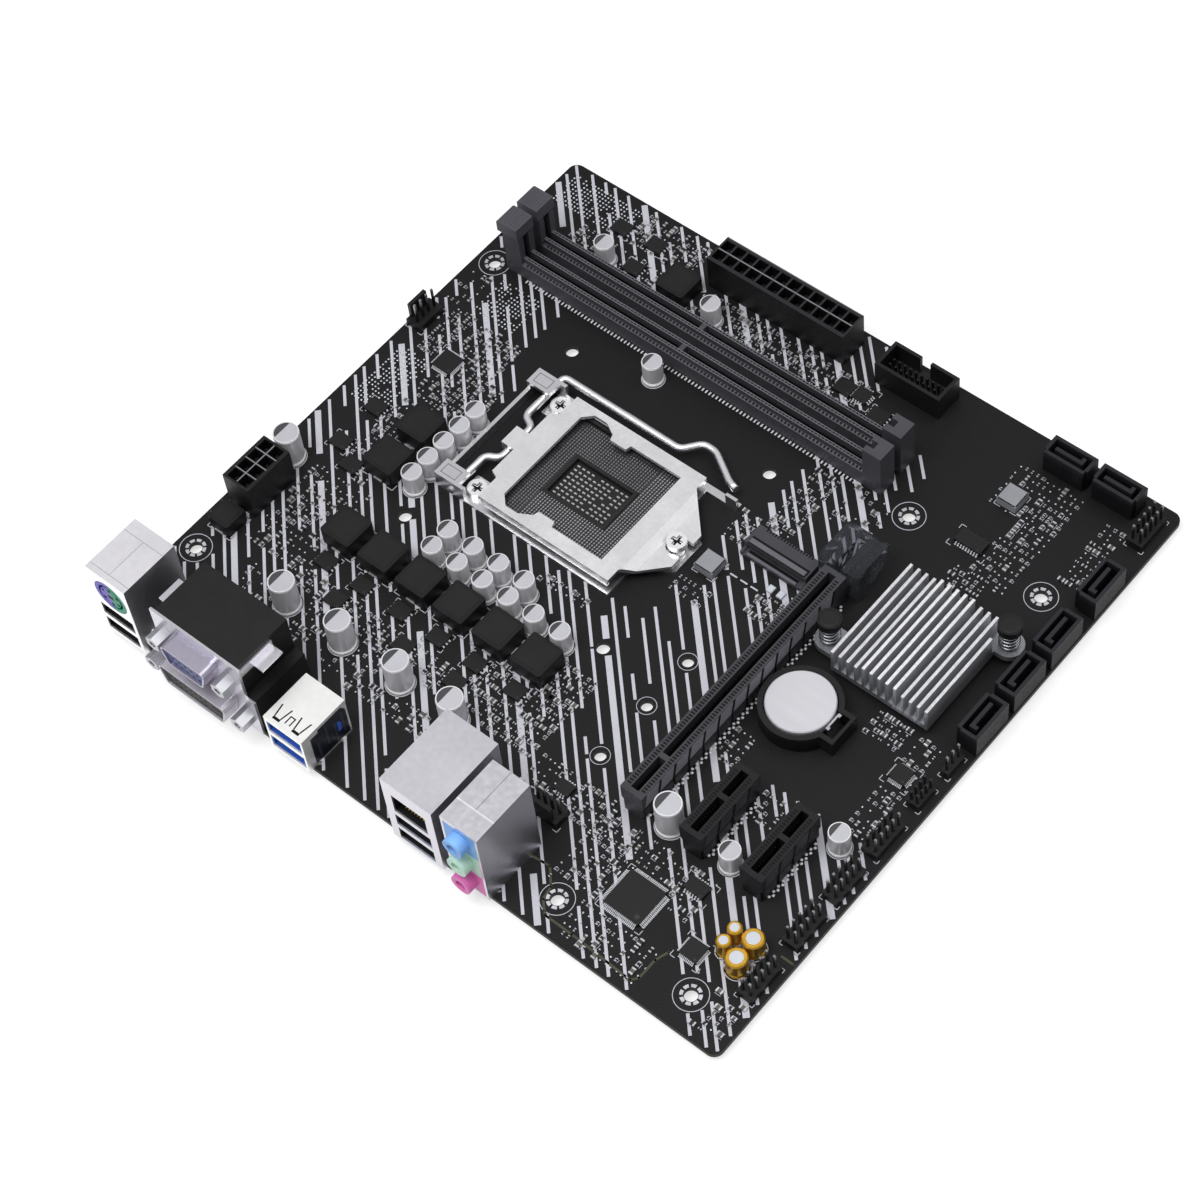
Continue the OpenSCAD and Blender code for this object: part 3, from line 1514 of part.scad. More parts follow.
module lan_usb_shell() {
    color("#c6c6ca") at_stack(lan) port_shell(lan) lan_mouths(2);
}

module lan_usb_insert() {
    color("#4a6fc9") at_stack(lan) {
        port_fill(lan) lan_mouths(usb_deep);
        for (z = [usb_low, usb_high])
            usb_tongue(lan_w / 2, z);
    }
}

module audio_body() {
    reach = board_t + tail_drop;
    color("#a9a9ae") at_stack(audio) {
        difference() {
            cube([audio_d, audio_w, audio_h]);
            block([-eps, audio_wall, jack_low - jack_pitch / 2], [jack_deep + fit + eps,
                audio_w - 2 * audio_wall, 3 * jack_pitch]);
        }
        for (p = tab_spots(audio))
            block([p[0] - audio[0] - tab_w / 2, p[1] - audio[1] - shell_t / 2, -reach],
                [tab_w, shell_t, reach + 1]);
    }
}

// Moulded jack: a block that fills its share of the pocket and a barrel that stands out of it
module audio_jack(i) {
    block_w = audio_w - 2 * audio_wall - 2 * fit;
    block_h = jack_pitch - 2 * fit;
    at_stack(audio) translate([0, audio_w / 2, jack_low + i * jack_pitch]) difference() {
        union() {
            block([0, -block_w / 2, -block_h / 2], [jack_deep, block_w, block_h]);
            translate([-jack_reach, 0, 0]) rotate([0, 90, 0])
                cylinder(d = jack_d, h = jack_reach + jack_deep / 2);
        }
        translate([-jack_reach - eps, 0, 0]) rotate([0, 90, 0])
            cylinder(d = jack_bore, h = jack_reach + jack_deep - 1.5);
    }
}

module audio_jack_blue() {
    color("#6ea8e6") audio_jack(2);
}

module audio_jack_green() {
    color("#bfe6cf") audio_jack(1);
}

module audio_jack_pink() {
    color("#e06fb4") audio_jack(0);
}

// Video stack: a body behind a face plate, with a D-shaped shell for each socket

// D outline, narrower below, in Y and Z about its centre
module d_outline(size, grow) {
    r = 1.6 + grow;
    taper = 1.4;
    half_w = size[0] / 2 - 1.6;
    half_h = size[1] / 2 - 1.6;
    hull() {
        for (y = [-half_w, half_w])
            translate([y, half_h]) circle(r, $fn = 24);
        for (y = [-half_w + taper, half_w - taper])
            translate([y, -half_h]) circle(r, $fn = 24);
    }
}

module video_body() {
    reach = board_t + tail_drop;
    color("#1f1f21") place() {
        difference() {
            union() {
                block([video_x, video_y - video_w / 2, board_t], [video_d, video_w, video_step]);
                block([video_x, video_y - video_top_w / 2, board_t], [video_d, video_top_w, video_h - 0.6]);
            }
            for (p = screw_spots)
                translate([video_x - eps, p[0], board_t + p[1]]) rotate([0, 90, 0])
                    cylinder(d = stud_d + 2 * leg_clear, h = stud_l + 1);
        }
        for (p = video_legs)
            translate([p[0], p[1], -tail_drop]) cylinder(d = peg_d, h = reach + eps);
    }
}

// Face plate of both tiers, with an arm and a flat tab along each side of the upper tier
module video_faceplate() {
    lap = 0.6;
    arm_z = video_h - 5;
    arm_l = 13;
    arm_t = 0.6;
    tab_from = 5;
    tab_out = 4.2;
    color("#c4c2c8") place() {
        difference() {
            union() {
                block([video_x - face_t, video_y - video_w / 2 - lap, board_t],
                    [face_t, video_w + 2 * lap, video_step + lap]);
                block([video_x - face_t, video_y - video_top_w / 2 - lap - arm_t, board_t],
                    [face_t, video_top_w + 2 * lap + 2 * arm_t, video_h]);
            }
            for (d = [[vga_size, vga_z], [dvi_size, dvi_z]])
                along_x(video_x - face_t - eps, face_t + 2 * eps) translate([video_y, board_t + d[1]])
                    d_outline(d[0], fit);
            for (p = screw_spots)
                translate([video_x - face_t - eps, p[0], board_t + p[1]]) rotate([0, 90, 0])
                    cylinder(d = stud_d + 2 * leg_clear, h = face_t + 2 * eps);
        }
        for (side = [0, 1])
            translate([video_x, video_y, board_t + arm_z]) mirror([0, side, 0]) {
                block([-eps, video_top_w / 2 + fit, 0], [arm_l, arm_t, 3]);
                block([tab_from, video_top_w / 2 + fit, 0], [arm_l - tab_from, tab_out, arm_t]);
            }
    }
}

// D-shaped metal shell that stands out of the face plate
module d_shell(size, z) {
    wall = 0.5;
    along_x(video_x - face_t - socket_reach, socket_reach + face_t) translate([video_y, board_t + z])
        difference() {
            d_outline(size, 0);
            d_outline(size, -wall);
        }
}

module d_insert(size, z) {
    recess = 0.6;
    along_x(video_x - face_t - socket_reach + recess, socket_reach + face_t - recess)
        translate([video_y, board_t + z]) d_outline(size, -0.5 - fit);
}

module vga_shell() {
    color("#cfcdd4") place() d_shell(vga_size, vga_z);
}

module vga_insert() {
    color("#2f4fae") place() d_insert(vga_size, vga_z);
}

module dvi_shell() {
    color("#cfcdd4") place() d_shell(dvi_size, dvi_z);
}

module dvi_insert() {
    color("#e8e6e2") place() d_insert(dvi_size, dvi_z);
}

// Hexagonal screws that hold the sockets and take a plug's thumbscrews
module jack_screws() {
    color("#b7b5bb") place()
        for (p = screw_spots)
            translate([video_x - face_t - nut_l, p[0], board_t + p[1]]) rotate([0, 90, 0]) difference() {
                union() {
                    cylinder(d = nut_d, h = nut_l, $fn = 6);
                    cylinder(d = stud_d, h = nut_l + face_t + stud_l);
                }
                translate([0, 0, -eps]) cylinder(d = nut_bore, h = nut_l);
            }
}

// Capacitors, chokes and chips

// Can with a rolled groove above its foot
module can(d, h) {
    r = d / 2;
    groove = 0.25;
    rotate_extrude() polygon([
        [0, 0], [r, 0], [r, 0.9], [r - groove, 1.2], [r - groove, 1.6], [r, 1.9],
        [r, h - 0.4], [r - 0.4, h], [0, h]
    ]);
}

module bulk_caps() {
    color("#c9cacd") place()
        for (p = bulk_spots)
            on_board(p) can(bulk_d, bulk_h);
}

module polymer_caps() {
    color("#cdced1") place()
        for (p = poly_spots)
            on_board(p) can(poly_d, poly_h);
}

module audio_caps() {
    color("#c8983a") place() {
        for (p = gold_spots)
            on_board(p) can(gold_d, gold_h);
        for (p = gold_small_spots)
            on_board(p) can(gold_small_d, gold_h);
    }
}

module choke(p, s) {
    on_board(p) translate([-s[0] / 2, -s[1] / 2, 0]) linear_extrude(s[2]) rounded_rect([s[0], s[1]], choke_r);
}

module chokes() {
    color("#2c2c2f") place() {
        for (p = choke_spots)
            choke(p, [choke_w, choke_w, choke_h]);
        choke(small_choke_spot, small_choke);
        choke(input_choke_spot, input_choke);
        for (p = ferrite_spots)
            choke(p, ferrite);
    }
}

module mosfets() {
    color("#232325") place()
        for (p = mosfet_spots)
            chip(p, [mosfet_size[0], mosfet_size[1], mosfet_h]);
}

module ic_packages() {
    color("#242427") place()
        for (c = chip_packages)
            chip([c[0], c[1]], [c[2], c[3], c[4]]);
}

pcb();
socket_housing();
socket_contacts();
ilm_frame();
load_plate();
load_lever();
socket_backplate();
ilm_screws();
dimm_slot_a();
dimm_slot_b();
dimm_latch_a();
dimm_latch_b();
pcie_x16_slot();
pcie_x16_latch();
pcie_x1_slot_a();
pcie_x1_slot_b();
card_edge_contacts();
m2_socket();
atx_power_housing();
eps_power_housing();
power_pins();
usb3_front_header();
cpu_fan_header();
case_fan_header();
pin_header_bases();
header_pins();
sata_ports();
chipset();
chipset_heatsink();
push_pin_a();
push_pin_b();
push_pin_spring_a();
push_pin_spring_b();
battery_holder();
coin_cell();
battery_clip();
ps2_usb_shell();
ps2_socket();
usb2_insert();
video_body();
video_faceplate();
vga_shell();
vga_insert();
dvi_shell();
dvi_insert();
jack_screws();
usb3_stack_shell();
usb3_stack_insert();
lan_usb_shell();
lan_usb_insert();
audio_body();
audio_jack_blue();
audio_jack_green();
audio_jack_pink();
bulk_caps();
polymer_caps();
audio_caps();
chokes();
mosfets();
ic_packages();
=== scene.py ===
import math
import random

import bmesh
import bpy
from mathutils import Matrix, Vector


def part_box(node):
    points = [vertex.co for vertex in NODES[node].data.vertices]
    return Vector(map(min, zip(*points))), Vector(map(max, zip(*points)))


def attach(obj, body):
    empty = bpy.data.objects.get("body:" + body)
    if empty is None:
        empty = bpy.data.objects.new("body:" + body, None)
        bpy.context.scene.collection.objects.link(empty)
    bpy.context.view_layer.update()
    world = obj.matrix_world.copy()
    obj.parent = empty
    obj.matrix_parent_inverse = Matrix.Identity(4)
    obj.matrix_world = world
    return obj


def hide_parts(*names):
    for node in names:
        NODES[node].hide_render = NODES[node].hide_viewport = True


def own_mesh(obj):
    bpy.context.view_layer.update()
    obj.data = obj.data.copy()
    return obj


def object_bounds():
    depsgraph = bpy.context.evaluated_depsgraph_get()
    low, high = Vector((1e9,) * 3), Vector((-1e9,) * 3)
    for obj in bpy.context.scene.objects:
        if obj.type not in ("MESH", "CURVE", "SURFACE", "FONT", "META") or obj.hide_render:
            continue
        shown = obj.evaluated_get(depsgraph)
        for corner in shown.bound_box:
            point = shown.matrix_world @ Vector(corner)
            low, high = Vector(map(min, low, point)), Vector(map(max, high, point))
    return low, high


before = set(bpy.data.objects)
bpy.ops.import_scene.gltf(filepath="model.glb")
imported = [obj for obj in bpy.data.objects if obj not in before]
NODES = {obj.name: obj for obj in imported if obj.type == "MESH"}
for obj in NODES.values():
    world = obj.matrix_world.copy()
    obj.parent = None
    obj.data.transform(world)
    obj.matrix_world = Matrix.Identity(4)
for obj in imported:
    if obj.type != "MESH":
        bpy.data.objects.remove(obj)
CAD_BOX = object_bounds()
BOARD_LO, BOARD_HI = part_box("pcb")
MM = 0.001
PRINT = 0.03
draw = random.Random(7)


# Board millimetres: x from the rear edge, y from the lower edge, z from the top face

def metres(p):
    return Vector((BOARD_LO.x + p[0] * MM, BOARD_LO.y + p[1] * MM, BOARD_HI.z + p[2] * MM))


def board_mm(v):
    return Vector(((v[0] - BOARD_LO.x) / MM, (v[1] - BOARD_LO.y) / MM, (v[2] - BOARD_HI.z) / MM))


def span(node):
    """Lowest and highest corner of a CAD node, in board millimetres."""
    lo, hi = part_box(node)
    return board_mm(lo), board_mm(hi)


def middle(lo, hi):
    """Centre of a box in plan."""
    return (lo.x + hi.x) / 2, (lo.y + hi.y) / 2


def spaced(centre, count, pitch):
    """Places of a row about its centre."""
    return [centre + (k - (count - 1) / 2) * pitch for k in range(count)]


def islands(node):
    """Boxes of the separate solids of a CAD node, in board millimetres."""
    mesh = NODES[node].data
    keys = [tuple(round(c * 1e6) for c in v.co) for v in mesh.vertices]
    root = {k: k for k in keys}

    def find(k):
        while root[k] != k:
            root[k] = root[root[k]]
            k = root[k]
        return k

    for edge in mesh.edges:
        a, b = (find(keys[i]) for i in edge.vertices)
        root[a] = b
    groups = {}
    for k, v in zip(keys, mesh.vertices):
        groups.setdefault(find(k), []).append(board_mm(v.co))
    boxes = []
    for points in groups.values():
        lo = Vector([min(p[i] for p in points) for i in range(3)])
        hi = Vector([max(p[i] for p in points) for i in range(3)])
        boxes.append((lo, hi))
    return sorted(boxes, key=lambda b: (round(b[0].x, 2), round(b[0].y, 2), round(b[0].z, 2)))


class Form:
    """A piece under construction: closed shapes in board millimetres."""

    def __init__(self):
        self.points = []
        self.faces = []
        self.smooth = []

    def loft(self, rings, smooth=False):
        """Skin over rings of as many points each, with both ends capped."""
        n = len(rings[0])
        base = len(self.points)
        last = (len(rings) - 1) * n
        self.points += [tuple(p) for ring in rings for p in ring]
        for r in range(base, base + last, n):
            for k in range(n):
                a, b = r + k, r + (k + 1) % n
                self.faces.append((a, b, b + n, a + n))
        self.faces.append(tuple(range(base + n - 1, base - 1, -1)))
        self.faces.append(tuple(range(base + last, base + last + n)))
        self.smooth += [smooth] * last + [False, False]

    def prism(self, outline, z0, z1):
        self.loft([[(x, y, z) for x, y in outline] for z in (z0, z1)])

    def block(self, lo, hi, cut=0.0):
        """Box between two corners, its upper edges cut back where cut is given."""
        def ring(z, inset):
            x0, x1, y0, y1 = lo[0] + inset, hi[0] - inset, lo[1] + inset, hi[1] - inset
            return [(x0, y0, z), (x1, y0, z), (x1, y1, z), (x0, y1, z)]
        rings = [ring(lo[2], 0), ring(hi[2] - cut, 0)]
        if cut:
            rings.append(ring(hi[2], cut))
        self.loft(rings)

    def bar(self, a, b, width, z0, z1):
        """Flat bar from point a to point b, in plan."""
        d = Vector((b[0] - a[0], b[1] - a[1]))
        side = Vector((-d.y, d.x)).normalized() * (width / 2)
        corners = [Vector(a) + side, Vector(a) - side, Vector(b) - side, Vector(b) + side]
        self.prism([(c.x, c.y) for c in corners], z0, z1)

    def lathe(self, centre, profile, axis=2, sides=24):
        """Turned solid: profile pairs of radius and height along an axis, from end to end."""
        u, v = ((1, 2), (2, 0), (0, 1))[axis]
        rings = []
        for r, h in profile:
            ring = []
            for k in range(sides):
                a = 2 * math.pi * k / sides
                p = [0, 0, 0]
                p[u] = centre[u] + r * math.cos(a)
                p[v] = centre[v] + r * math.sin(a)
                p[axis] = centre[axis] + h
                ring.append(p)
            rings.append(ring)
        self.loft(rings, True)

    def annulus(self, centre, inner, outer, z0, z1, sides=32, start=0.0, turn=360.0):
        """Flat ring, or a part of one, about a vertical axis."""
        steps = max(2, round(sides * turn / 360))
        rings = []
        for k in range(steps + 1):
            a = math.radians(start + turn * k / steps)
            c, s = math.cos(a), math.sin(a)
            rings.append([(centre[0] + r * c, centre[1] + r * s, z)
                          for r, z in ((inner, z0), (outer, z0), (outer, z1), (inner, z1))])
        self.loft(rings)

    def frame(self, centre, inner, outer, z0, z1):
        """Flat rectangular ring between two pairs of half sizes."""
        rings = []
        for sx, sy in ((-1, -1), (1, -1), (1, 1), (-1, 1), (-1, -1)):
            rings.append([(centre[0] + sx * h[0], centre[1] + sy * h[1], z)
                          for h, z in ((inner, z0), (outer, z0), (outer, z1), (inner, z1))])
        self.loft(rings)

    def tube(self, path, radius, sides=10):
        """Round wire along a list of points."""
        path = [Vector(p) for p in path]
        rings = []
        side = None
        for i, p in enumerate(path):
            ahead = path[min(i + 1, len(path) - 1)] - path[max(i - 1, 0)]
            ahead.normalize()
            if side is None:
                side = ahead.orthogonal().normalized()
            side = (side - ahead * side.dot(ahead)).normalized()
            other = ahead.cross(side)
            rings.append([p + radius * (math.cos(a) * side + math.sin(a) * other)
                          for a in (2 * math.pi * k / sides for k in range(sides))])
        self.loft(rings, True)

    def build(self, name, finish, slot, body="board", replaces=()):
        """Makes the piece, with its finish and its body; the slot argument is not used."""
        mesh = bpy.data.meshes.new(name)
        mesh.from_pydata([metres(p) for p in self.points], [], self.faces)
        mesh.polygons.foreach_set("use_smooth", self.smooth)
        shape = bmesh.new()
        shape.from_mesh(mesh)
        bmesh.ops.recalc_face_normals(shape, faces=shape.faces)
        shape.to_mesh(mesh)
        shape.free()
        mesh.materials.append(mat[finish])
        piece = bpy.data.objects.new(name, mesh)
        bpy.context.scene.collection.objects.link(piece)
        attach(piece, body)
        if replaces:
            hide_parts(*replaces)
        return piece


# Finishes

def linear(code):
    """Linear colour of a hexadecimal screen colour."""
    parts = [int(code[i:i + 2], 16) / 255 for i in (1, 3, 5)]
    return tuple(c / 12.92 if c <= 0.04045 else ((c + 0.055) / 1.055) ** 2.4 for c in parts) + (1.0,)


def shade(colour, factor):
    return tuple(min(1.0, c * factor) for c in colour[:3]) + (1.0,)


class Finish:
    """Node material with short calls for the parts that the finishes share."""

    def __init__(self, name, metal=0.0, specular=0.5):
        self.material = bpy.data.materials.new(name)
        self.material.use_nodes = True
        self.tree = self.material.node_tree
        self.bsdf = self.tree.nodes["Principled BSDF"]
        self.bsdf.inputs["Metallic"].default_value = metal
        self.bsdf.inputs["Specular IOR Level"].default_value = specular
        self.coords = self.tree.nodes.new("ShaderNodeTexCoord").outputs["Object"]

    def node(self, kind, **settings):
        made = self.tree.nodes.new(kind)
        for key, value in settings.items():
            setattr(made, key, value)
        return made

    def link(self, source, target):
        self.tree.links.new(source, target)

    def noise(self, scale, stretch=(1, 1, 1), detail=3.0):
        place = self.node("ShaderNodeMapping")
        place.inputs["Scale"].default_value = stretch
        self.link(self.coords, place.inputs["Vector"])
        made = self.node("ShaderNodeTexNoise")
        made.inputs["Scale"].default_value = scale
        made.inputs["Detail"].default_value = detail
        self.link(place.outputs["Vector"], made.inputs["Vector"])
        return made.outputs["Fac"]

    def axis(self, index):
        """One coordinate of the object, in metres."""
        parts = self.node("ShaderNodeSeparateXYZ")
        self.link(self.coords, parts.inputs["Vector"])
        return parts.outputs[index]

    def near(self, index, place, reach):
        """One where a coordinate lies within reach of a place, elsewhere zero."""
        off = self.math("ABSOLUTE", self.math("SUBTRACT", self.axis(index), place))
        return self.math("LESS_THAN", off, reach)

    def math(self, operation, a, b=0.0):
        made = self.node("ShaderNodeMath", operation=operation)
        for socket, value in zip(made.inputs, (a, b)):
            if isinstance(value, (int, float)):
                socket.default_value = value
            else:
                self.link(value, socket)
        return made.outputs[0]

    def spread(self, value, low, high, start=0.3, end=0.7):
        """Maps a noise or a coordinate from start..end to low..high."""
        made = self.node("ShaderNodeMapRange")
        made.inputs["From Min"].default_value = start
        made.inputs["From Max"].default_value = end
        made.inputs["To Min"].default_value = low
        made.inputs["To Max"].default_value = high
        self.link(value, made.inputs["Value"])
        return made.outputs["Result"]

    def mix(self, factor, a, b):
        made = self.node("ShaderNodeMix", data_type="RGBA")
        self.link(factor, made.inputs["Factor"])
        for index, value in ((6, a), (7, b)):
            if isinstance(value, tuple):
                made.inputs[index].default_value = value
            else:
                self.link(value, made.inputs[index])
        return made.outputs[2]

    def tone(self, grain, code, vary):
        """A colour that strays by a share either way with a grain."""
        base = linear(code)
        return self.mix(self.spread(grain, 0, 1), shade(base, 1 - vary), shade(base, 1 + vary))

    def colour(self, value):
        self.link(value, self.bsdf.inputs["Base Color"])

    def rough(self, value):
        self.link(value, self.bsdf.inputs["Roughness"])

    def bump(self, height, strength, distance=0.0001):
        made = self.node("ShaderNodeBump")
        made.inputs["Strength"].default_value = strength
        made.inputs["Distance"].default_value = distance
        self.link(height, made.inputs["Height"])
        self.link(made.outputs["Normal"], self.bsdf.inputs["Normal"])


def surface(name, code, rough=0.5, metal=0.0, vary=0.15, grain=1500.0, bump=0.1, gloss_vary=0.1,
            stretch=(1, 1, 1), specular=0.5):
    """Moulded, painted or plain metal finish: fine grain and broad cloud in colour, gloss and relief."""
    made = Finish(name, metal, specular)
    fine = made.noise(grain, stretch)
    cloud = made.noise(grain / 14, (1, 1, 1), 2.0)
    both = made.math("MULTIPLY", made.math("ADD", fine, cloud), 0.5)
    made.colour(made.tone(both, code, vary))
    made.rough(made.spread(both, max(0.03, rough - gloss_vary), min(1, rough + gloss_vary)))
    made.bump(fine, bump)
    return made.material


def board_finish():
    """Black solder mask with faint raised tracks, and the bare laminate on the edge."""
    made = Finish("solder_mask", specular=0.25)
    track = made.node("ShaderNodeTexBrick", offset=0.37, squash=0.6)
    turn = made.node("ShaderNodeMapping")
    turn.inputs["Rotation"].default_value = (0, 0, math.radians(45))
    made.link(made.coords, turn.inputs["Vector"])
    made.link(turn.outputs["Vector"], track.inputs["Vector"])
    for key, value in (("Scale", 130.0), ("Mortar Size", 0.02), ("Brick Width", 2.6), ("Row Height", 0.13)):
        track.inputs[key].default_value = value
    dust = made.noise(2600.0)
    cloud = made.noise(24.0)
    mask = made.mix(made.spread(cloud, 0, 1), linear("#060607"), linear("#0a0a0c"))
    ground = made.mix(made.math("MULTIPLY", track.outputs["Fac"], 0.5), mask, linear("#111114"))
    upper = made.math("GREATER_THAN", made.axis(2), BOARD_HI.z - 0.05 * MM)
    lower = made.math("LESS_THAN", made.axis(2), BOARD_LO.z + 0.05 * MM)
    face = made.math("MAXIMUM", upper, lower)
    edge = made.mix(made.spread(dust, 0, 1), linear("#1b1a17"), linear("#2c2a24"))
    made.colour(made.mix(face, edge, ground))
    made.rough(made.spread(dust, 0.5, 0.68))
    made.bump(track.outputs["Fac"], 0.25, 0.00003)
    return made.material


def two_tone(name, codes, axis, split, rough=0.45, metal=0.0, blend=0.0, specular=0.4):
    """Finish in two colours that meet at a coordinate, over a width of blend; lengths in metres."""
    made = Finish(name, metal, specular)
    side = made.spread(made.axis(axis), 0, 1, split - blend / 2, split + blend / 2 + 1e-6)
    grain = made.noise(1400.0)
    made.colour(made.mix(side, *(made.tone(grain, code, 0.1) for code in codes)))
    made.rough(made.spread(grain, rough - 0.08, rough + 0.08))
    made.bump(grain, 0.08)
    return made.material


def banded(name, code, ground, bands, width):
    """Dark finish with level bands of a colour, each from its height up by width; lengths in metres."""
    made = Finish(name, specular=0.4)
    grain = made.noise(1400.0)
    inside = None
    for band in bands:
        hit = made.near(2, band + width / 2, width / 2)
        inside = hit if inside is None else made.math("MAXIMUM", inside, hit)
    made.colour(made.mix(inside, made.tone(grain, ground, 0.1), made.tone(grain, code, 0.1)))
    made.rough(made.spread(grain, 0.35, 0.5))
    made.bump(grain, 0.08)
    return made.material


def audio_finish(code, light, dark):
    """Tin shell of the audio stack, with a lighter band of painted highlight and a dark fold line on its
    upper face.
    """
    made = Finish("audio_shell", 1.0)
    lo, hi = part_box("audio_body")
    grain = made.noise(600.0)
    upper = made.math("GREATER_THAN", made.axis(2), hi.z - 0.05 * MM)
    place = lo.x + 7.0 * MM
    band = made.near(0, place, 0.24 * MM)
    behind = made.math("GREATER_THAN", made.axis(0), place + 0.3 * MM)
    seam = made.math("MULTIPLY", made.near(1, (lo.y + hi.y) / 2, 0.08 * MM), behind)
    # The light colour across the band is a painted highlight.
    top_with_highlight = made.mix(made.math("MULTIPLY", band, upper), made.tone(grain, code, 0.03), linear(light))
    made.colour(made.mix(made.math("MULTIPLY", seam, upper), top_with_highlight, linear(dark)))
    made.rough(made.spread(grain, 0.3, 0.38))
    made.bump(grain, 0.02)
    return made.material


def clear_finish(name, code, rough=0.1):
    """Clear tinted plastic with faint flow marks."""
    made = Finish(name, specular=0.5)
    made.bsdf.inputs["Transmission Weight"].default_value = 0.94
    made.bsdf.inputs["IOR"].default_value = 1.16
    flow = made.noise(220.0, (1, 3, 1))
    made.colour(made.tone(flow, code, 0.15))
    made.rough(made.spread(flow, rough - 0.05, rough + 0.05))
    made.bump(flow, 0.01)
    return made.material


BRUSH_Y = (1, 0.06, 1)
BRUSH_Z = (1, 1, 0.06)
TOP = BOARD_HI.z
LAN_TONGUES = (4.1, 11.40)
def look(*values, **named):
    """Settings of a plain finish, as surface takes them after the name."""
    return values, named


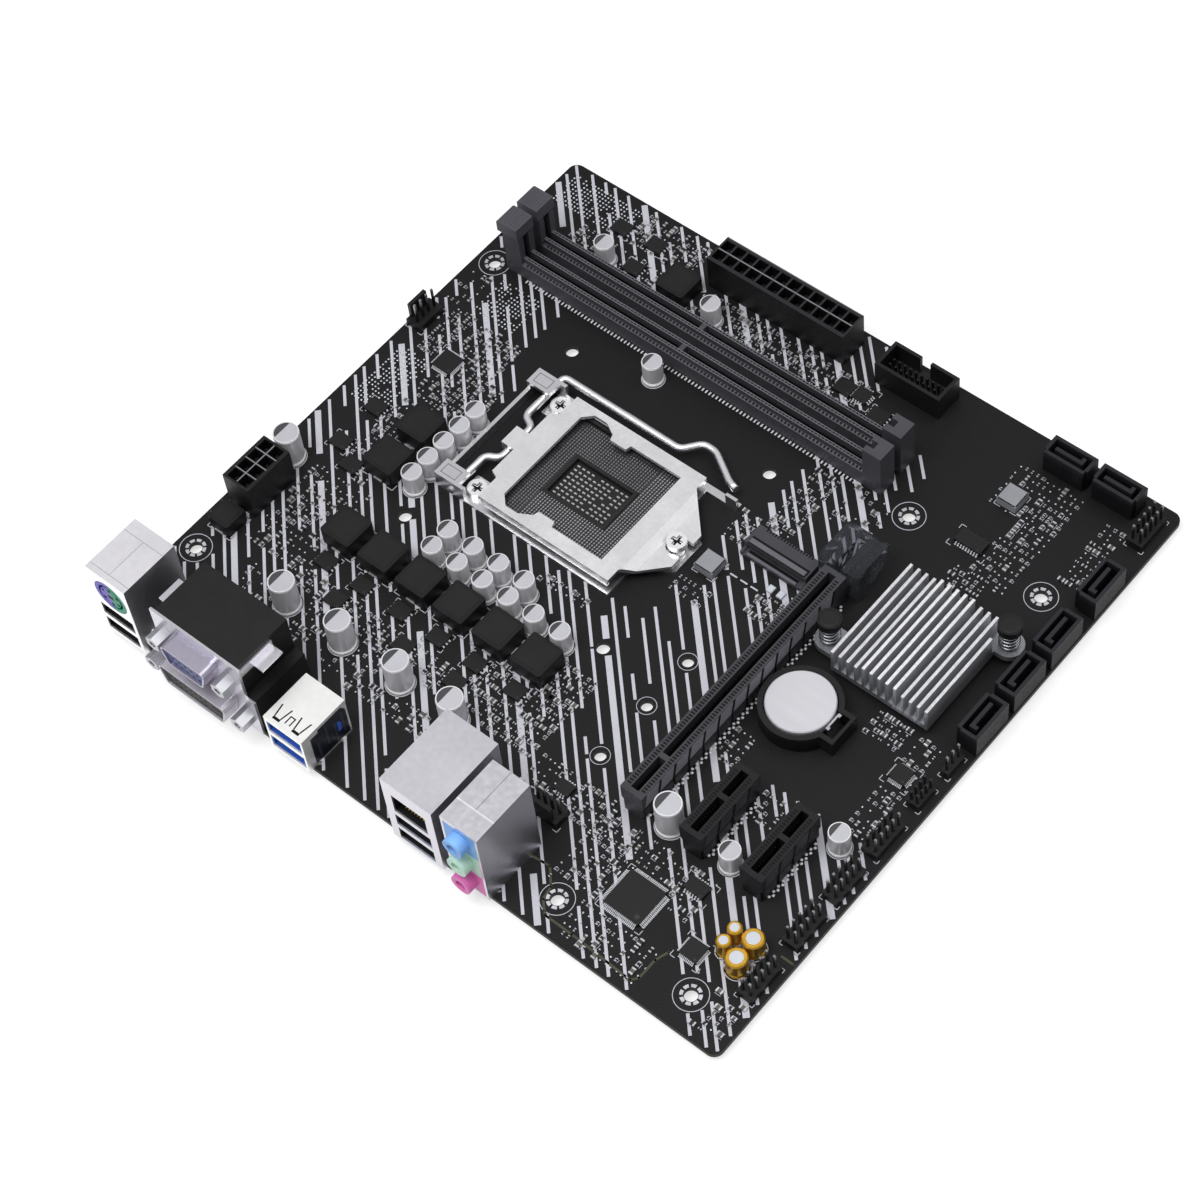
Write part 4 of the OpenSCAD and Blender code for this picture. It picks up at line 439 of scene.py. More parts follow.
LOOKS = {
    "black": look("#0e0e0f", 0.5, vary=0.25, bump=0.15, specular=0.3),
    "slot_grey": look("#323236", 0.46, vary=0.12, bump=0.1, specular=0.4),
    "slot_dark": look("#131315", 0.5, vary=0.15, bump=0.1, specular=0.25),
    "dimm_grey": look("#3c3c41", 0.46, vary=0.12, bump=0.1, specular=0.4),
    "latch_grey": look("#45454b", 0.5, vary=0.12, bump=0.15, specular=0.35),
    "module_grey": look("#38383c", 0.48, vary=0.12, bump=0.1, specular=0.35),
    "nickel": look("#dcdcde", 0.3, 1.0, 0.03, 600.0, 0.02, 0.04),
    "lever": look("#f0f0f2", 0.3, 1.0, 0.04, 900.0, 0.03, 0.05),
    "screw": look("#f4f4f5", 0.42, 0.9, 0.05, 1100.0, 0.05, 0.06),
    "plate": look("#f2f2f3", 0.36, 1.0, 0.05, 1100.0, 0.06, 0.07),
    "shell": look("#faf8fb", 0.34, 1.0, 0.03, 600.0, 0.02, 0.04),
    "shell_grey": look("#d5d3d9", 0.34, 1.0, 0.03, 600.0, 0.02, 0.04),
    "shell_white": look("#fbfbf8", 0.38, 0.85, 0.02, 600.0, 0.02, 0.04),
    "shell_violet": look("#b9b4c4", 0.34, 0.95, 0.03, 600.0, 0.02, 0.04),
    "shell_dark": look("#c4c0c8", 0.36, 0.7, 0.03, 600.0, 0.02, 0.04),
    "zinc": look("#bcbcc1", 0.4, 0.85, 0.1, 900.0, 0.06),
    "gold": look("#c9a24d", 0.3, 1.0, 0.12, 1600.0, 0.05),
    "tin": look("#cfcfd3", 0.28, 1.0, 0.1, 1600.0, 0.05),
    # Power pins painted near black: painted shade inside the connector cells.
    "power_pin": look("#232325", 0.35, 1.0, 0.1, 1600.0, 0.05),
    "blue": look("#2a56b8", 0.42, vary=0.15),
    "deep_blue": look("#1d3070", 0.42, vary=0.12),
    # Dark navy for the stack's cut-out side: the blue insert's colour darkened by painted shade.
    "navy": look("#11141d", 0.35, 0.3, 0.15),
    "navy_rib": look("#3a3f4d", 0.35, 0.5, 0.12),
    "light_blue": look("#7aaee9", 0.42, vary=0.08),
    "mint": look("#bfe3cf", 0.42, vary=0.08),
    "pink": look("#dd6fb4", 0.42, vary=0.08),
    "white": look("#d6d6d6", 0.5, vary=0.06),
    "can": look("#e0e0e2", 0.4, 0.5, 0.04, 1500.0, 0.04, 0.05, BRUSH_Z),
    "gold_can": look("#d8a93c", 0.3, 0.9, 0.1, 1500.0, 0.05, 0.06, BRUSH_Z),
    "choke": look("#0b0b0c", 0.5, vary=0.25, grain=2600.0, bump=0.3, specular=0.28),
    "epoxy": look("#0f0f10", 0.5, vary=0.2, grain=2400.0, bump=0.2, specular=0.3),
    "substrate": look("#1d3a2c", 0.35, vary=0.12),
    "spring": look("#9d9ea3", 0.3, 1.0, 0.08, 1500.0, 0.04),
    "ink": look("#b2b2b9", 0.6, vary=0.1, grain=1800.0, bump=0.1, specular=0.3),
    "ink_dark": look("#1d1d20", 0.5, vary=0.15),
    "olive": look("#3d3d2c", 0.45, 0.3, 0.1, 1800.0, 0.1),
    "solder": look("#c6c7cb", 0.34, 0.75, 0.12, 2200.0, 0.12),
    "dot": look("#dadade", 0.4, 0.25, 0.08, 2200.0, 0.08),
    "seam": look("#7d7d82", 0.5, 0.3, 0.08),
    # Grey lines on the power connectors' cell walls: painted highlight.
    "cell_edge_highlight": look("#77777c", 0.5, vary=0.1),
    # Grey lines on the memory slots' rails: painted highlight.
    "rail_edge_highlight": look("#64646a", 0.5, vary=0.1, specular=0.35),
    "lead": look("#c0c1c5", 0.45, 0.25, 0.1, 1800.0, 0.08),
    # Near black for openings, slits, grooves, pin holes and recess floors: painted shade.
    "painted_hole_shade": look("#040405", 0.7, vary=0.3, specular=0.2),
    "ceramic": look("#4f4a45", 0.45, vary=0.2, grain=2600.0),
    "resistor": look("#0e0e10", 0.4, vary=0.25, grain=2600.0),
    "cell": look("#c6c6ca", 0.42, 0.45, 0.03, 500.0, 0.04, 0.05, BRUSH_Y),
    "ferrite": look("#828387", 0.5, vary=0.12, grain=2200.0, bump=0.2),
    "cap_top": look("#b4b4b9", 0.5, 0.3, 0.05, 1700.0, 0.06),
    "cap_dark": look("#37373a", 0.5, vary=0.12),
    "gold_top": look("#bdc1c8", 0.45, 0.2, 0.05, 1700.0, 0.06),
    "lcp": look("#19191a", 0.5, vary=0.2, specular=0.3),
    "field": look("#2f2f31", 0.5, vary=0.2, grain=2200.0, specular=0.3),
    "choke_top": look("#0f0f10", 0.48, vary=0.2, grain=2600.0, bump=0.25, specular=0.3),
    # Dark gold for the card-slot contacts: painted shade in the slots' grooves.
    "contact": look("#3b372d", 0.4, 1.0, 0.15, 1600.0),
    "contact_tip": look("#a8a8aa", 0.4, 0.9, 0.12, 1600.0),
    # Darker copy of the contact finish: painted shade on the contacts that lean away.
    "contact_painted_shade": look("#88888b", 0.4, 0.9, 0.12, 1600.0),
    "pit_part": look("#9d9d9b", 0.5, vary=0.08),
    # Lighter than the long slot's own grey: painted light on its wall panels.
    "panel_painted_light": look("#85858c", 0.5, vary=0.1, specular=0.35),
    "rib_grey": look("#2c2c2f", 0.5, vary=0.14, specular=0.35),
    # Lighter than the module slot's own grey: painted highlight along its rails.
    "module_rail_highlight": look("#5a5a60", 0.5, vary=0.1, specular=0.35),
}
mat = {name: surface(name, *values, **named) for name, (values, named) in LOOKS.items()}
mat.update({
    "mask": board_finish(),
    # Power housings painted lighter on top than below: painted light on their top faces.
    "power": two_tone("power_plastic_painted_top_light", ("#0b0b0c", "#1d1d20"), 2, TOP + 12.9 * MM, 0.5, specular=0.3),
    # SATA ports darker towards the bottom over a blend: painted shade low down, painted light on top.
    "sata": two_tone("port_grey_plastic_painted_shade", ("#121214", "#26262a"), 2, TOP + 7.2 * MM, 0.55,
                     blend=2.4 * MM, specular=0.15),
    "clear": clear_finish("clear_grey_plastic", "#96989e"),
    # The audio shell's light band colour is a painted highlight; the dark one is its fold line.
    "audio_shell": audio_finish("#d5d3d9", "#f6f6f4", "#77777c"),
    # Fins painted dark towards their roots and bright at their tops: painted shade between the fins, painted
    # light on the tops.
    "fins": two_tone("fin_aluminium", ("#97989d", "#f4f4f6"), 2, TOP + 9.5 * MM, 0.38, 0.75, 8 * MM),
    # Header pins painted dark low down and light at the tips: painted shade among the pins, painted highlight
    # on the tips.
    "pin": two_tone("header_pin", ("#2b2b2d", "#96969b"), 2, TOP + 7.6 * MM, 0.3, 0.9, 2.4 * MM),
    "socket": two_tone("keyboard_socket_plastic", ("#178f6c", "#6a5fbe"), 1,
                       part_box("ps2_socket")[0].y + 6.1 * MM),
    "network": banded("network_insert_plastic", "#86aad8", "#0d0d0f",
                      [TOP + z * MM for z in LAN_TONGUES], 1.9 * MM),
})

NODE_FINISH = {
    "mask": "pcb",
    "black": "usb3_front_header cpu_fan_header case_fan_header pin_header_bases battery_holder video_body "
             "usb2_insert dvi_insert push_pin_a push_pin_b eps_power_housing",
    "power": "atx_power_housing",
    "slot_dark": "pcie_x1_slot_a pcie_x1_slot_b",
    "sata": "sata_ports",
    "slot_grey": "pcie_x16_slot",
    "dimm_grey": "dimm_slot_a dimm_slot_b",
    "latch_grey": "dimm_latch_a dimm_latch_b",
    "module_grey": "m2_socket",
    "clear": "pcie_x16_latch",
    "lcp": "socket_housing socket_contacts",
    "nickel": "ilm_frame",
    "lever": "load_lever",
    "screw": "ilm_screws",
    "plate": "load_plate",
    "zinc": "socket_backplate jack_screws",
    "shell": "ps2_usb_shell",
    "shell_dark": "dvi_shell",
    "shell_grey": "lan_usb_shell video_faceplate",
    "audio_shell": "audio_body",
    "shell_white": "usb3_stack_shell",
    "shell_violet": "vga_shell",
    "tin": "battery_clip",
    "pin": "header_pins",
    "power_pin": "power_pins",
    "gold": "card_edge_contacts",
    "fins": "chipset_heatsink",
    "substrate": "chipset",
    "spring": "push_pin_spring_a push_pin_spring_b",
    "cell": "coin_cell",
    "blue": "usb3_stack_insert",
    "deep_blue": "vga_insert",
    "network": "lan_usb_insert",
    "light_blue": "audio_jack_blue",
    "mint": "audio_jack_green",
    "pink": "audio_jack_pink",
    "can": "bulk_caps polymer_caps",
    "gold_can": "audio_caps",
    "choke": "chokes",
    "epoxy": "mosfets ic_packages",
    "socket": "ps2_socket",
}
SOFT_EDGES = {"chokes": 0.7, "dimm_latch_a": 0.35, "dimm_latch_b": 0.35, "battery_holder": 0.4,
              "m2_socket": 0.15}


def dress(node, material, edge=0.0):
    """Gives a CAD node its finish and, where edge is set, a fine rounding of its edges in millimetres."""
    piece = NODES[node]
    piece.data.materials.clear()
    piece.data.materials.append(material)
    if edge:
        weld = piece.modifiers.new("weld", "WELD")
        weld.merge_threshold = 0.001 * MM
        rounding = piece.modifiers.new("rounding", "BEVEL")
        rounding.width = edge * MM
        rounding.segments = 2
        rounding.limit_method = "ANGLE"
        rounding.angle_limit = math.radians(40)
        rounding.harden_normals = True


for finish, names in NODE_FINISH.items():
    for name in names.split():
        dress(name, mat[finish], SOFT_EDGES.get(name, 0.0))


# Places on the board

HOLES = [(10.16, 16.45), (165.1, 16.45), (10.16, 62.17), (165.1, 62.17), (33.02, 219.65), (165.1, 219.65)]
POST_HOLES = [(50.9, 81.5), (70.9, 81.5), (88.9, 81.5)]
COOLER_HOLES = [(115.6 + x, 140.8 + y) for x in (-37.5, 37.5) for y in (-37.5, 37.5)]
BOARD_W = 211.0
BOARD_L = 226.0
HOLE_KEEP = 5.5
POST_KEEP = 3.4
COOLER_KEEP = 2.8
PRINT_MARGIN = 0.4
MEMORY_SLOTS = ("dimm_slot_a", "dimm_slot_b")
MEMORY_RAIL = 8.2
CARD_SLOTS = ("pcie_x16_slot", "pcie_x1_slot_a", "pcie_x1_slot_b")
LONG_CONTACTS = 89.3
CANS = ("bulk_caps", "polymer_caps")
GOLD_CANS = "audio_caps"
ALL_SOLIDS = {name: islands(name) for name in NODES}


def footprints():
    """Plan rectangles that the mounted parts cover."""
    rects = []
    for name, boxes in ALL_SOLIDS.items():
        if name not in ("pcb", "socket_backplate"):
            rects += [(lo.x, lo.y, hi.x, hi.y) for lo, hi in boxes if lo.z < 5.0]
    return rects


CRYSTALS = [(121.6, 77.9), (121.7, 74.4)]
DASHES = (119.1, [80.7, 84.4, 88.1], 2.5)
COVERED = footprints() + [(118.6, 80, 119.6, 91)]
COVERED += [(x - 1.3, y - 1.1, x + 1.3, y + 1.1) for x, y in CRYSTALS]


def in_rect(x, y, rect, margin=0.0):
    return rect[0] - margin < x < rect[2] + margin and rect[1] - margin < y < rect[3] + margin


def clear_of_holes(x, y, margin):
    kinds = ((HOLES, HOLE_KEEP), (POST_HOLES, POST_KEEP), (COOLER_HOLES, COOLER_KEEP))
    return all(math.dist((x, y), p) > r + margin for spots, r in kinds for p in spots)


def free(x, y, margin):
    on_board = in_rect(x, y, (0, 0, BOARD_W, BOARD_L), -1.2 - margin)
    return on_board and clear_of_holes(x, y, margin) and not any(in_rect(x, y, r, margin) for r in COVERED)


# Print on the board

PLAIN = [(117.6, 79.6, 120.6, 91.6), (72, 0, 211, 66), (138, 96, 166, 190), (92, 100, 140, 182),
         (184, 62, 211, 96)]
STRIPE_STEP = 5.2
STRIPE_THIN, STRIPE_BROAD = 0.9, 1.9
FIRST_RUN = (10, 60)
INK_RUN = (16, 70)
INK_GAP = (1.5, 9)


def stripe_runs(offset):
    """Stretches of the diagonal x - y = offset that carry ink, as pairs of x."""
    step = 0.5
    x = max(1.0, 1.0 + offset)
    end = min(BOARD_W - 1.0, BOARD_L - 1.0 + offset)
    runs = []
    start = None
    left = draw.uniform(*FIRST_RUN)
    inked = draw.random() < 0.75
    while x < end:
        y = x - offset
        left -= step
        if left < 0:
            inked = not inked
            left = draw.uniform(*(INK_RUN if inked else INK_GAP))
        good = inked and clear_of_holes(x, y, 0.3) and not any(in_rect(x, y, r) for r in PLAIN)
        if good and start is None:
            start = x
        if not good and start is not None:
            runs.append((start, x))
            start = None
        x += step
    if start is not None:
        runs.append((start, end))
    return [r for r in runs if r[1] - r[0] > 3]


def print_stripes():
    """Diagonal stripes, thin ones with a broad one now and then."""
    form = Form()
    count = int((BOARD_W + BOARD_L) / STRIPE_STEP)
    for k in range(count):
        offset = -BOARD_L + 4 + k * STRIPE_STEP + 0.9 * math.sin(1.7 * k)
        width = STRIPE_BROAD if k % 7 == 3 else STRIPE_THIN
        for a, b in stripe_runs(offset):
            form.bar((a, a - offset), (b, b - offset), width, 0, PRINT)
    form.build("print_stripes", "ink", "solder_mask")


HOLE_PADS = (2.15, 3.1)
PAD_COUNT, PAD_START, PAD_TURN, PAD_H = 8, 7, 31, 0.05
HOLE_CIRCLE = (4.75, 4.95)
POST_CIRCLE = (2.75, 2.92)


def print_hole_marks():
    """Broken ring of solder and a circle round each mounting hole, a circle round each post hole."""
    pads = Form()
    lines = Form()
    for spot in HOLES:
        for k in range(PAD_COUNT):
            pads.annulus(spot, *HOLE_PADS, 0, PAD_H, 48, 360 / PAD_COUNT * k + PAD_START, PAD_TURN)
        lines.annulus(spot, *HOLE_CIRCLE, 0, PRINT, 48)
    for spot in POST_HOLES:
        lines.annulus(spot, *POST_CIRCLE, 0, PRINT, 40)
    pads.build("hole_pads", "solder", "tin_pin")
    lines.build("hole_circles", "ink", "solder_mask")


# Bare track that parts the audio corner from the rest of the board
AUDIO_BORDER = [
    [(15.8, 77), (16.5, 70.2), (11.9, 65.9), (7.8, 65.2), (4.5, 61.7), (4.5, 52.4), (3.7, 31.7), (5.6, 30.2),
     (12.2, 30.2), (16.2, 28.8)],
    [(33.2, 4.9), (33.2, 0.6)],
]


def print_border():
    """Dull line along the edge of the audio corner."""
    form = Form()
    for run in AUDIO_BORDER:
        for a, b in zip(run, run[1:]):
            form.bar(a, b, 0.7, 0, PRINT)
            form.lathe((b[0], b[1], 0), [(0.35, 0), (0.35, PRINT)], sides=12)
    form.build("audio_border", "olive", "solder_mask")


def outline(form, lo, hi, gap, width, corner):
    """Printed angles of a length at the corners of a part, a gap away from it."""
    x0, y0 = max(PRINT_MARGIN, lo.x - gap), max(PRINT_MARGIN, lo.y - gap)
    x1, y1 = min(BOARD_W - PRINT_MARGIN, hi.x + gap), min(BOARD_L - PRINT_MARGIN, hi.y + gap)
    for x, sx in ((x0, 1), (x1, -1)):
        for y, sy in ((y0, 1), (y1, -1)):
            form.bar((x, y), (x + sx * corner, y), width, 0, PRINT)
            form.bar((x, y), (x, y + sy * corner), width, 0, PRINT)


def print_outlines():
    """Plain printed frames round chips, transistors, capacitors and headers."""
    form = Form()
    for lo, hi in ALL_SOLIDS["ic_packages"]:
        outline(form, lo, hi, 1.6, 0.2, 1.6)
    for lo, hi in ALL_SOLIDS["mosfets"]:
        outline(form, lo, hi, 0.8, 0.18, 1.2)
    for lo, hi in ALL_SOLIDS["chokes"]:
        outline(form, lo, hi, 0.5, 0.2, 2.2)
    for node in (*CANS, GOLD_CANS):
        for lo, hi in ALL_SOLIDS[node]:
            r = (hi.x - lo.x) / 2
            form.annulus(middle(lo, hi), r + 0.3, r + 0.55, 0, PRINT)
    for lo, hi in ALL_SOLIDS["pin_header_bases"]:
        outline(form, lo, hi, 0.5, 0.2, 1.2)
    for node in ("cpu_fan_header", "case_fan_header"):
        outline(form, *span(node), 0.6, 0.2, 1.6)
    form.build("print_outlines", "ink", "solder_mask")


# Small surface-mounted parts

# Fields of small parts: corners, spacing along and across, share that is filled
PART_FIELDS = [
    (84, 116, 89, 134, 1.6, 2.2, 0.8), (104, 90, 112, 102, 1.7, 2.3, 0.8),
    (56, 96, 70, 109, 1.8, 2.4, 0.75), (111, 68, 124, 80, 1.8, 2.4, 0.7),
    (138, 84, 164, 94, 1.8, 2.4, 0.7), (2, 30, 15, 57, 1.8, 2.6, 0.55),
    (13, 54, 40, 70, 1.9, 2.6, 0.55), (3, 2, 17, 13, 1.9, 2.6, 0.5), (69, 50, 85, 62, 1.9, 2.5, 0.6),
    (100, 18, 111, 31, 1.8, 2.4, 0.65), (150, 30, 162, 42, 1.8, 2.4, 0.65),
    (158, 25, 188, 40, 1.9, 2.5, 0.6), (182, 25, 200, 48, 1.9, 2.5, 0.6),
    (172, 9, 198, 17, 1.9, 2.5, 0.6), (38, 96, 58, 128, 1.8, 2.4, 0.7),
    (195, 168, 210, 194, 1.8, 2.3, 0.75), (112, 190, 146, 208.5, 1.7, 2.2, 0.7),
    (183, 98, 196, 162, 1.8, 2.4, 0.65), (38, 130, 50, 190, 1.8, 2.5, 0.6),
    (78, 195, 111, 208.5, 1.8, 2.5, 0.55), (44, 190, 80, 212, 2.0, 2.8, 0.5),
    (186, 164, 194, 210, 1.8, 2.5, 0.6), (25, 30, 42, 60, 1.9, 2.6, 0.5),
    (30, 64, 44, 96, 1.9, 2.6, 0.5), (70, 8, 110, 16, 2.0, 2.6, 0.5),
    (150, 66, 166, 82, 2.2, 3.0, 0.35), (24, 96, 34, 140, 2.0, 2.8, 0.5),
    (24, 142, 42, 204, 2.1, 2.9, 0.4), (128, 94, 140, 112, 1.9, 2.5, 0.5),
    (60, 24, 72, 40, 1.9, 2.6, 0.5), (106, 60, 114, 70, 1.9, 2.6, 0.5),
    (84, 184, 130, 192, 1.8, 2.4, 0.55), (145, 215, 164, 224, 2.2, 3.0, 0.4),
    (126, 209, 146, 218, 1.7, 2.2, 0.7),
]
# Grids of solder points: corners and pitch
DOT_GRIDS = [(195, 195, 208.5, 222.5, 1.25), (101, 209, 125, 222.5, 1.25), (147, 197, 163, 214, 1.25)]
CERAMIC_SHARE = 0.55
TICK_SHARE = 0.5
VIA_FROM = 0.6
PART_SIZES = [(1.0, 0.5, 0.4), (1.0, 0.5, 0.4), (1.6, 0.8, 0.5), (2.0, 1.25, 0.7)]


def small_parts():
    """Rows of resistors and ceramic capacitors with tinned ends, print ticks and plated holes."""
    bodies = {"ceramic": Form(), "resistor": Form()}
    ends = Form()
    ticks = Form()
    vias = Form()
    placed = []
    for x0, y0, x1, y1, along, across, share in PART_FIELDS:
        upright = draw.random() < 0.5
        step_x, step_y = (along, across) if upright else (across, along)
        for i in range(int((x1 - x0) / step_x)):
            for j in range(int((y1 - y0) / step_y)):
                x = x0 + (i + 0.5) * step_x
                y = y0 + (j + 0.5) * step_y
                pick = draw.random()
                size = draw.choice(PART_SIZES)
                kind = "ceramic" if draw.random() < CERAMIC_SHARE else "resistor"
                ticked = draw.random() < TICK_SHARE
                shift = draw.uniform(-0.3, 0.3)
                half = size[0] / 2
                if any(math.dist((x, y), p) < half + r + 0.25 for p, r in placed[-120:]):
                    continue
                if pick < share and free(x, y, half + 0.2):
                    chip_part(bodies[kind], ends, x, y, size, upright)
                    placed.append(((x, y), half))
                    if ticked:
                        part_ticks(ticks, x, y, size, upright)
                elif pick > VIA_FROM and free(x + shift, y - shift, 0.4):
                    vias.lathe((x + shift, y - shift, 0), [(0.3, 0), (0.3, 0.02), (0.16, 0.03)], sides=8)
    bodies["ceramic"].build("ceramic_capacitors", "ceramic", "chip_epoxy")
    bodies["resistor"].build("chip_resistors", "resistor", "chip_epoxy")
    ends.build("part_ends", "solder", "tin_pin")
    ticks.build("part_ticks", "ink", "solder_mask")
    vias.build("plated_holes", "solder", "tin_pin")


def dot_grids():
    """Neat grids of solder points in the corners where the photo shows them."""
    form = Form()
    for x0, y0, x1, y1, pitch in DOT_GRIDS:
        for i in range(int((x1 - x0) / pitch)):
            for j in range(int((y1 - y0) / pitch)):
                x = x0 + (i + 0.5) * pitch
                y = y0 + (j + 0.5) * pitch
                kept = draw.random() < 0.82
                if kept and free(x, y, 0.5):
                    form.lathe((x, y, 0), [(0.36, 0.01), (0.34, 0.08), (0.16, 0.2)], sides=10)
    form.build("solder_points", "solder", "tin_pin")


def crystals():
    """Two small cans and a dashed line beside the module slot."""
    form = Form()
    for x, y in CRYSTALS:
        form.block((x - 1.2, y - 1.0, 0.01), (x + 1.2, y + 1.0, 0.8), 0.15)
    form.build("crystals", "gold_top", "tin_shell")
    line = Form()
    x, starts, length = DASHES
    for y in starts:
        line.bar((x, y), (x, y + length), 0.5, 0, PRINT)
    line.build("print_dashes", "ink", "solder_mask")


def chip_part(body, ends, x, y, size, upright):
    length, width, height = size
    end = 0.24 * length
    for a, b, form, grow in ((-length / 2 + end, length / 2 - end, body, 0),
                             (-length / 2, -length / 2 + end, ends, 0.03),
                             (length / 2 - end, length / 2, ends, 0.03)):
        w = width / 2 + grow
        lo, hi = ((-w, a), (w, b)) if upright else ((a, -w), (b, w))
        form.block((x + lo[0], y + lo[1], 0), (x + hi[0], y + hi[1], height + grow))


def part_ticks(form, x, y, size, upright):
    """Two short printed lines beside a small part."""
    reach = size[0] / 2
    off = size[1] / 2 + 0.28
    for side in (-off, off):
        ends = [(x + side, y + d) if upright else (x + d, y + side) for d in (-reach, reach)]
        form.bar(*ends, 0.14, 0, PRINT)


# Leads and terminals

def gull_wing(form, root, out, width, reach, height):
    """Bent lead that leaves a package at height and lies down on its pad; out is its plan direction."""
    t = 0.14
    profile = [(-0.1, height), (0.35 * reach, height), (0.6 * reach, t), (reach, t), (reach, 0.01),
               (0.5 * reach, 0.01), (0.28 * reach, height - t), (-0.1, height - t)]
    side = Vector((-out[1], out[0])) * (width / 2)
    rings = []
    for s in (-1, 1):
        rings.append([(root[0] + out[0] * d + s * side.x, root[1] + out[1] * d + s * side.y, z)
                      for d, z in profile])
    form.loft(rings)


def lead_row(form, lo, hi, out, pitch, width, reach, height):
    """Leads along one side of a package."""
    along_y = out[0] != 0
    a, b = (lo.y, hi.y) if along_y else (lo.x, hi.x)
    count = int((b - a - 0.6) / pitch)
    edge = hi if out[0] + out[1] > 0 else lo
    for spot in spaced((a + b) / 2, count, pitch):
        root = (edge.x, spot) if along_y else (spot, edge.y)
        gull_wing(form, root, out, width, reach, height)


def package_leads():
    """Leads of the chips and the power transistors, and the dot at a chip's first lead."""
    leads = Form()
    dots = Form()
    sides = [(1, 0), (-1, 0), (0, 1), (0, -1)]
    for lo, hi in ALL_SOLIDS["ic_packages"]:
        w, l = hi.x - lo.x, hi.y - lo.y
        square = abs(w - l) < 0.5
        pitch, width = (0.5, 0.3) if square and w > 5 else (0.9, 0.45)
        reach = 1.5 if w > 10 else 0.85
        for out in sides if square else [s for s in sides if (s[0] != 0) == (l > w)]:
            lead_row(leads, lo, hi, out, pitch, width, reach, min(0.7, hi.z * 0.6))
        dots.lathe((lo.x + 0.14 * w, lo.y + 0.14 * l, hi.z), [(0.06 * w, 0), (0.06 * w, 0.015)], sides=16)
    for lo, hi in ALL_SOLIDS["mosfets"]:
        for out in ((0, 1), (0, -1)):
            lead_row(leads, lo, hi, out, 1.27, 0.5, 0.55, 0.35)
        dots.lathe((lo.x + 0.9, lo.y + 0.9, hi.z), [(0.3, 0), (0.3, 0.015)], sides=12)
    leads.build("package_leads", "lead", "tin_pin")
    dots.build("package_dots", "ink_dark", "chip_epoxy")


LOW_CHOKE = 3.5


def choke_details():
    """Raised top pad and tinned feet of each choke; the low ones are bare ferrite."""
    tops = Form()
    feet = Form()
    shells = Form()
    for lo, hi in ALL_SOLIDS["chokes"]:
        if hi.z < LOW_CHOKE:
            g = 0.03
            shells.block((lo.x - g, lo.y - g, 0.01), (hi.x + g, hi.y + g, hi.z + g), 0.35)
            continue
        inset = 1.1
        tops.block((lo.x + inset, lo.y + inset, hi.z - 0.02), (hi.x - inset, hi.y - inset, hi.z + 0.06), 0.05)
        mid = (lo.y + hi.y) / 2
        for x, d in ((lo.x, -1), (hi.x, 1)):
            foot = sorted((x - d * 0.2, x + d * 0.35))
            feet.block((foot[0], mid - 1.6, 0.01), (foot[1], mid + 1.6, 0.7), 0.1)
    tops.build("choke_tops", "choke_top", "choke_powder")
    feet.build("choke_feet", "solder", "tin_pin")
    shells.build("ferrite_shells", "ferrite", "choke_powder")


def capacitor_details():
    """Printed top with its dark segment, rolled rim and light base ring of each can."""
    tops = Form()
    dark = Form()
    rims = Form()
    bases = Form()
    discs = Form()
    for node in CANS:
        for lo, hi in ALL_SOLIDS[node]:
            r = (hi.x - lo.x) / 2
            c = middle(lo, hi)
            tops.lathe((*c, hi.z), [(r * 0.9, -0.03), (r * 0.9, 0.02), (r * 0.87, 0.04)], sides=28)
            rims.annulus(c, r * 0.9, r * 0.98, hi.z - 0.12, hi.z + 0.03, 28)
            bases.lathe((*c, 0), [(r + 0.2, 0.01), (r + 0.2, 0.7), (r, 1.1)], sides=28)
            segment(dark, c, r * 0.88, 0.6, 90, hi.z + 0.035)
    for lo, hi in ALL_SOLIDS[GOLD_CANS]:
        r = (hi.x - lo.x) / 2
        c = middle(lo, hi)
        discs.lathe((*c, hi.z), [(r * 0.62, -0.03), (r * 0.62, 0.02), (r * 0.58, 0.05)], sides=28)
    tops.build("can_tops", "cap_top", "can_aluminium")
    dark.build("can_segments", "cap_dark", "can_aluminium")
    rims.build("can_rims", "can", "can_aluminium")
    bases.build("can_bases", "white", "white_plastic")
    discs.build("gold_can_discs", "gold_top", "gold_can")


def segment(form, centre, r, depth, towards, z):
    """Printed circular segment on a can's top, depth as a share of the radius."""
    half = math.acos(1 - depth)
    steps = 10
    arc = [math.radians(towards) - half + 2 * half * k / steps for k in range(steps + 1)]
    form.prism([(centre[0] + r * math.cos(a), centre[1] + r * math.sin(a)) for a in arc], z, z + 0.02)


# Slots

def edge_contacts():
    """Single contact blades along the card grooves."""
    form = Form()
    for lo, hi in ALL_SOLIDS["card_edge_contacts"]:
        along_x = hi.x - lo.x > hi.y - lo.y
        length = hi.x - lo.x if along_x else hi.y - lo.y
        pitch = 1.0 if along_x else 0.85
        for k in range(int(length / pitch)):
            a = (k + 0.5) * pitch
            if along_x:
                form.block((lo.x + a - 0.22, lo.y, lo.z), (lo.x + a + 0.22, hi.y, hi.z - 0.8), 0.1)
            else:
                form.block((lo.x, lo.y + a - 0.2, lo.z), (hi.x, lo.y + a + 0.2, hi.z - 0.8), 0.1)
    # The blades take the dark contact finish: painted shade in the grooves.
    form.build("edge_contacts", "contact", "gold_contact", replaces=["card_edge_contacts"])


def contacts_end(lo, hi):
    """Where the contacts of an expansion slot end, short of the long slot's tail."""
    return min(hi.x, lo.x + LONG_CONTACTS)


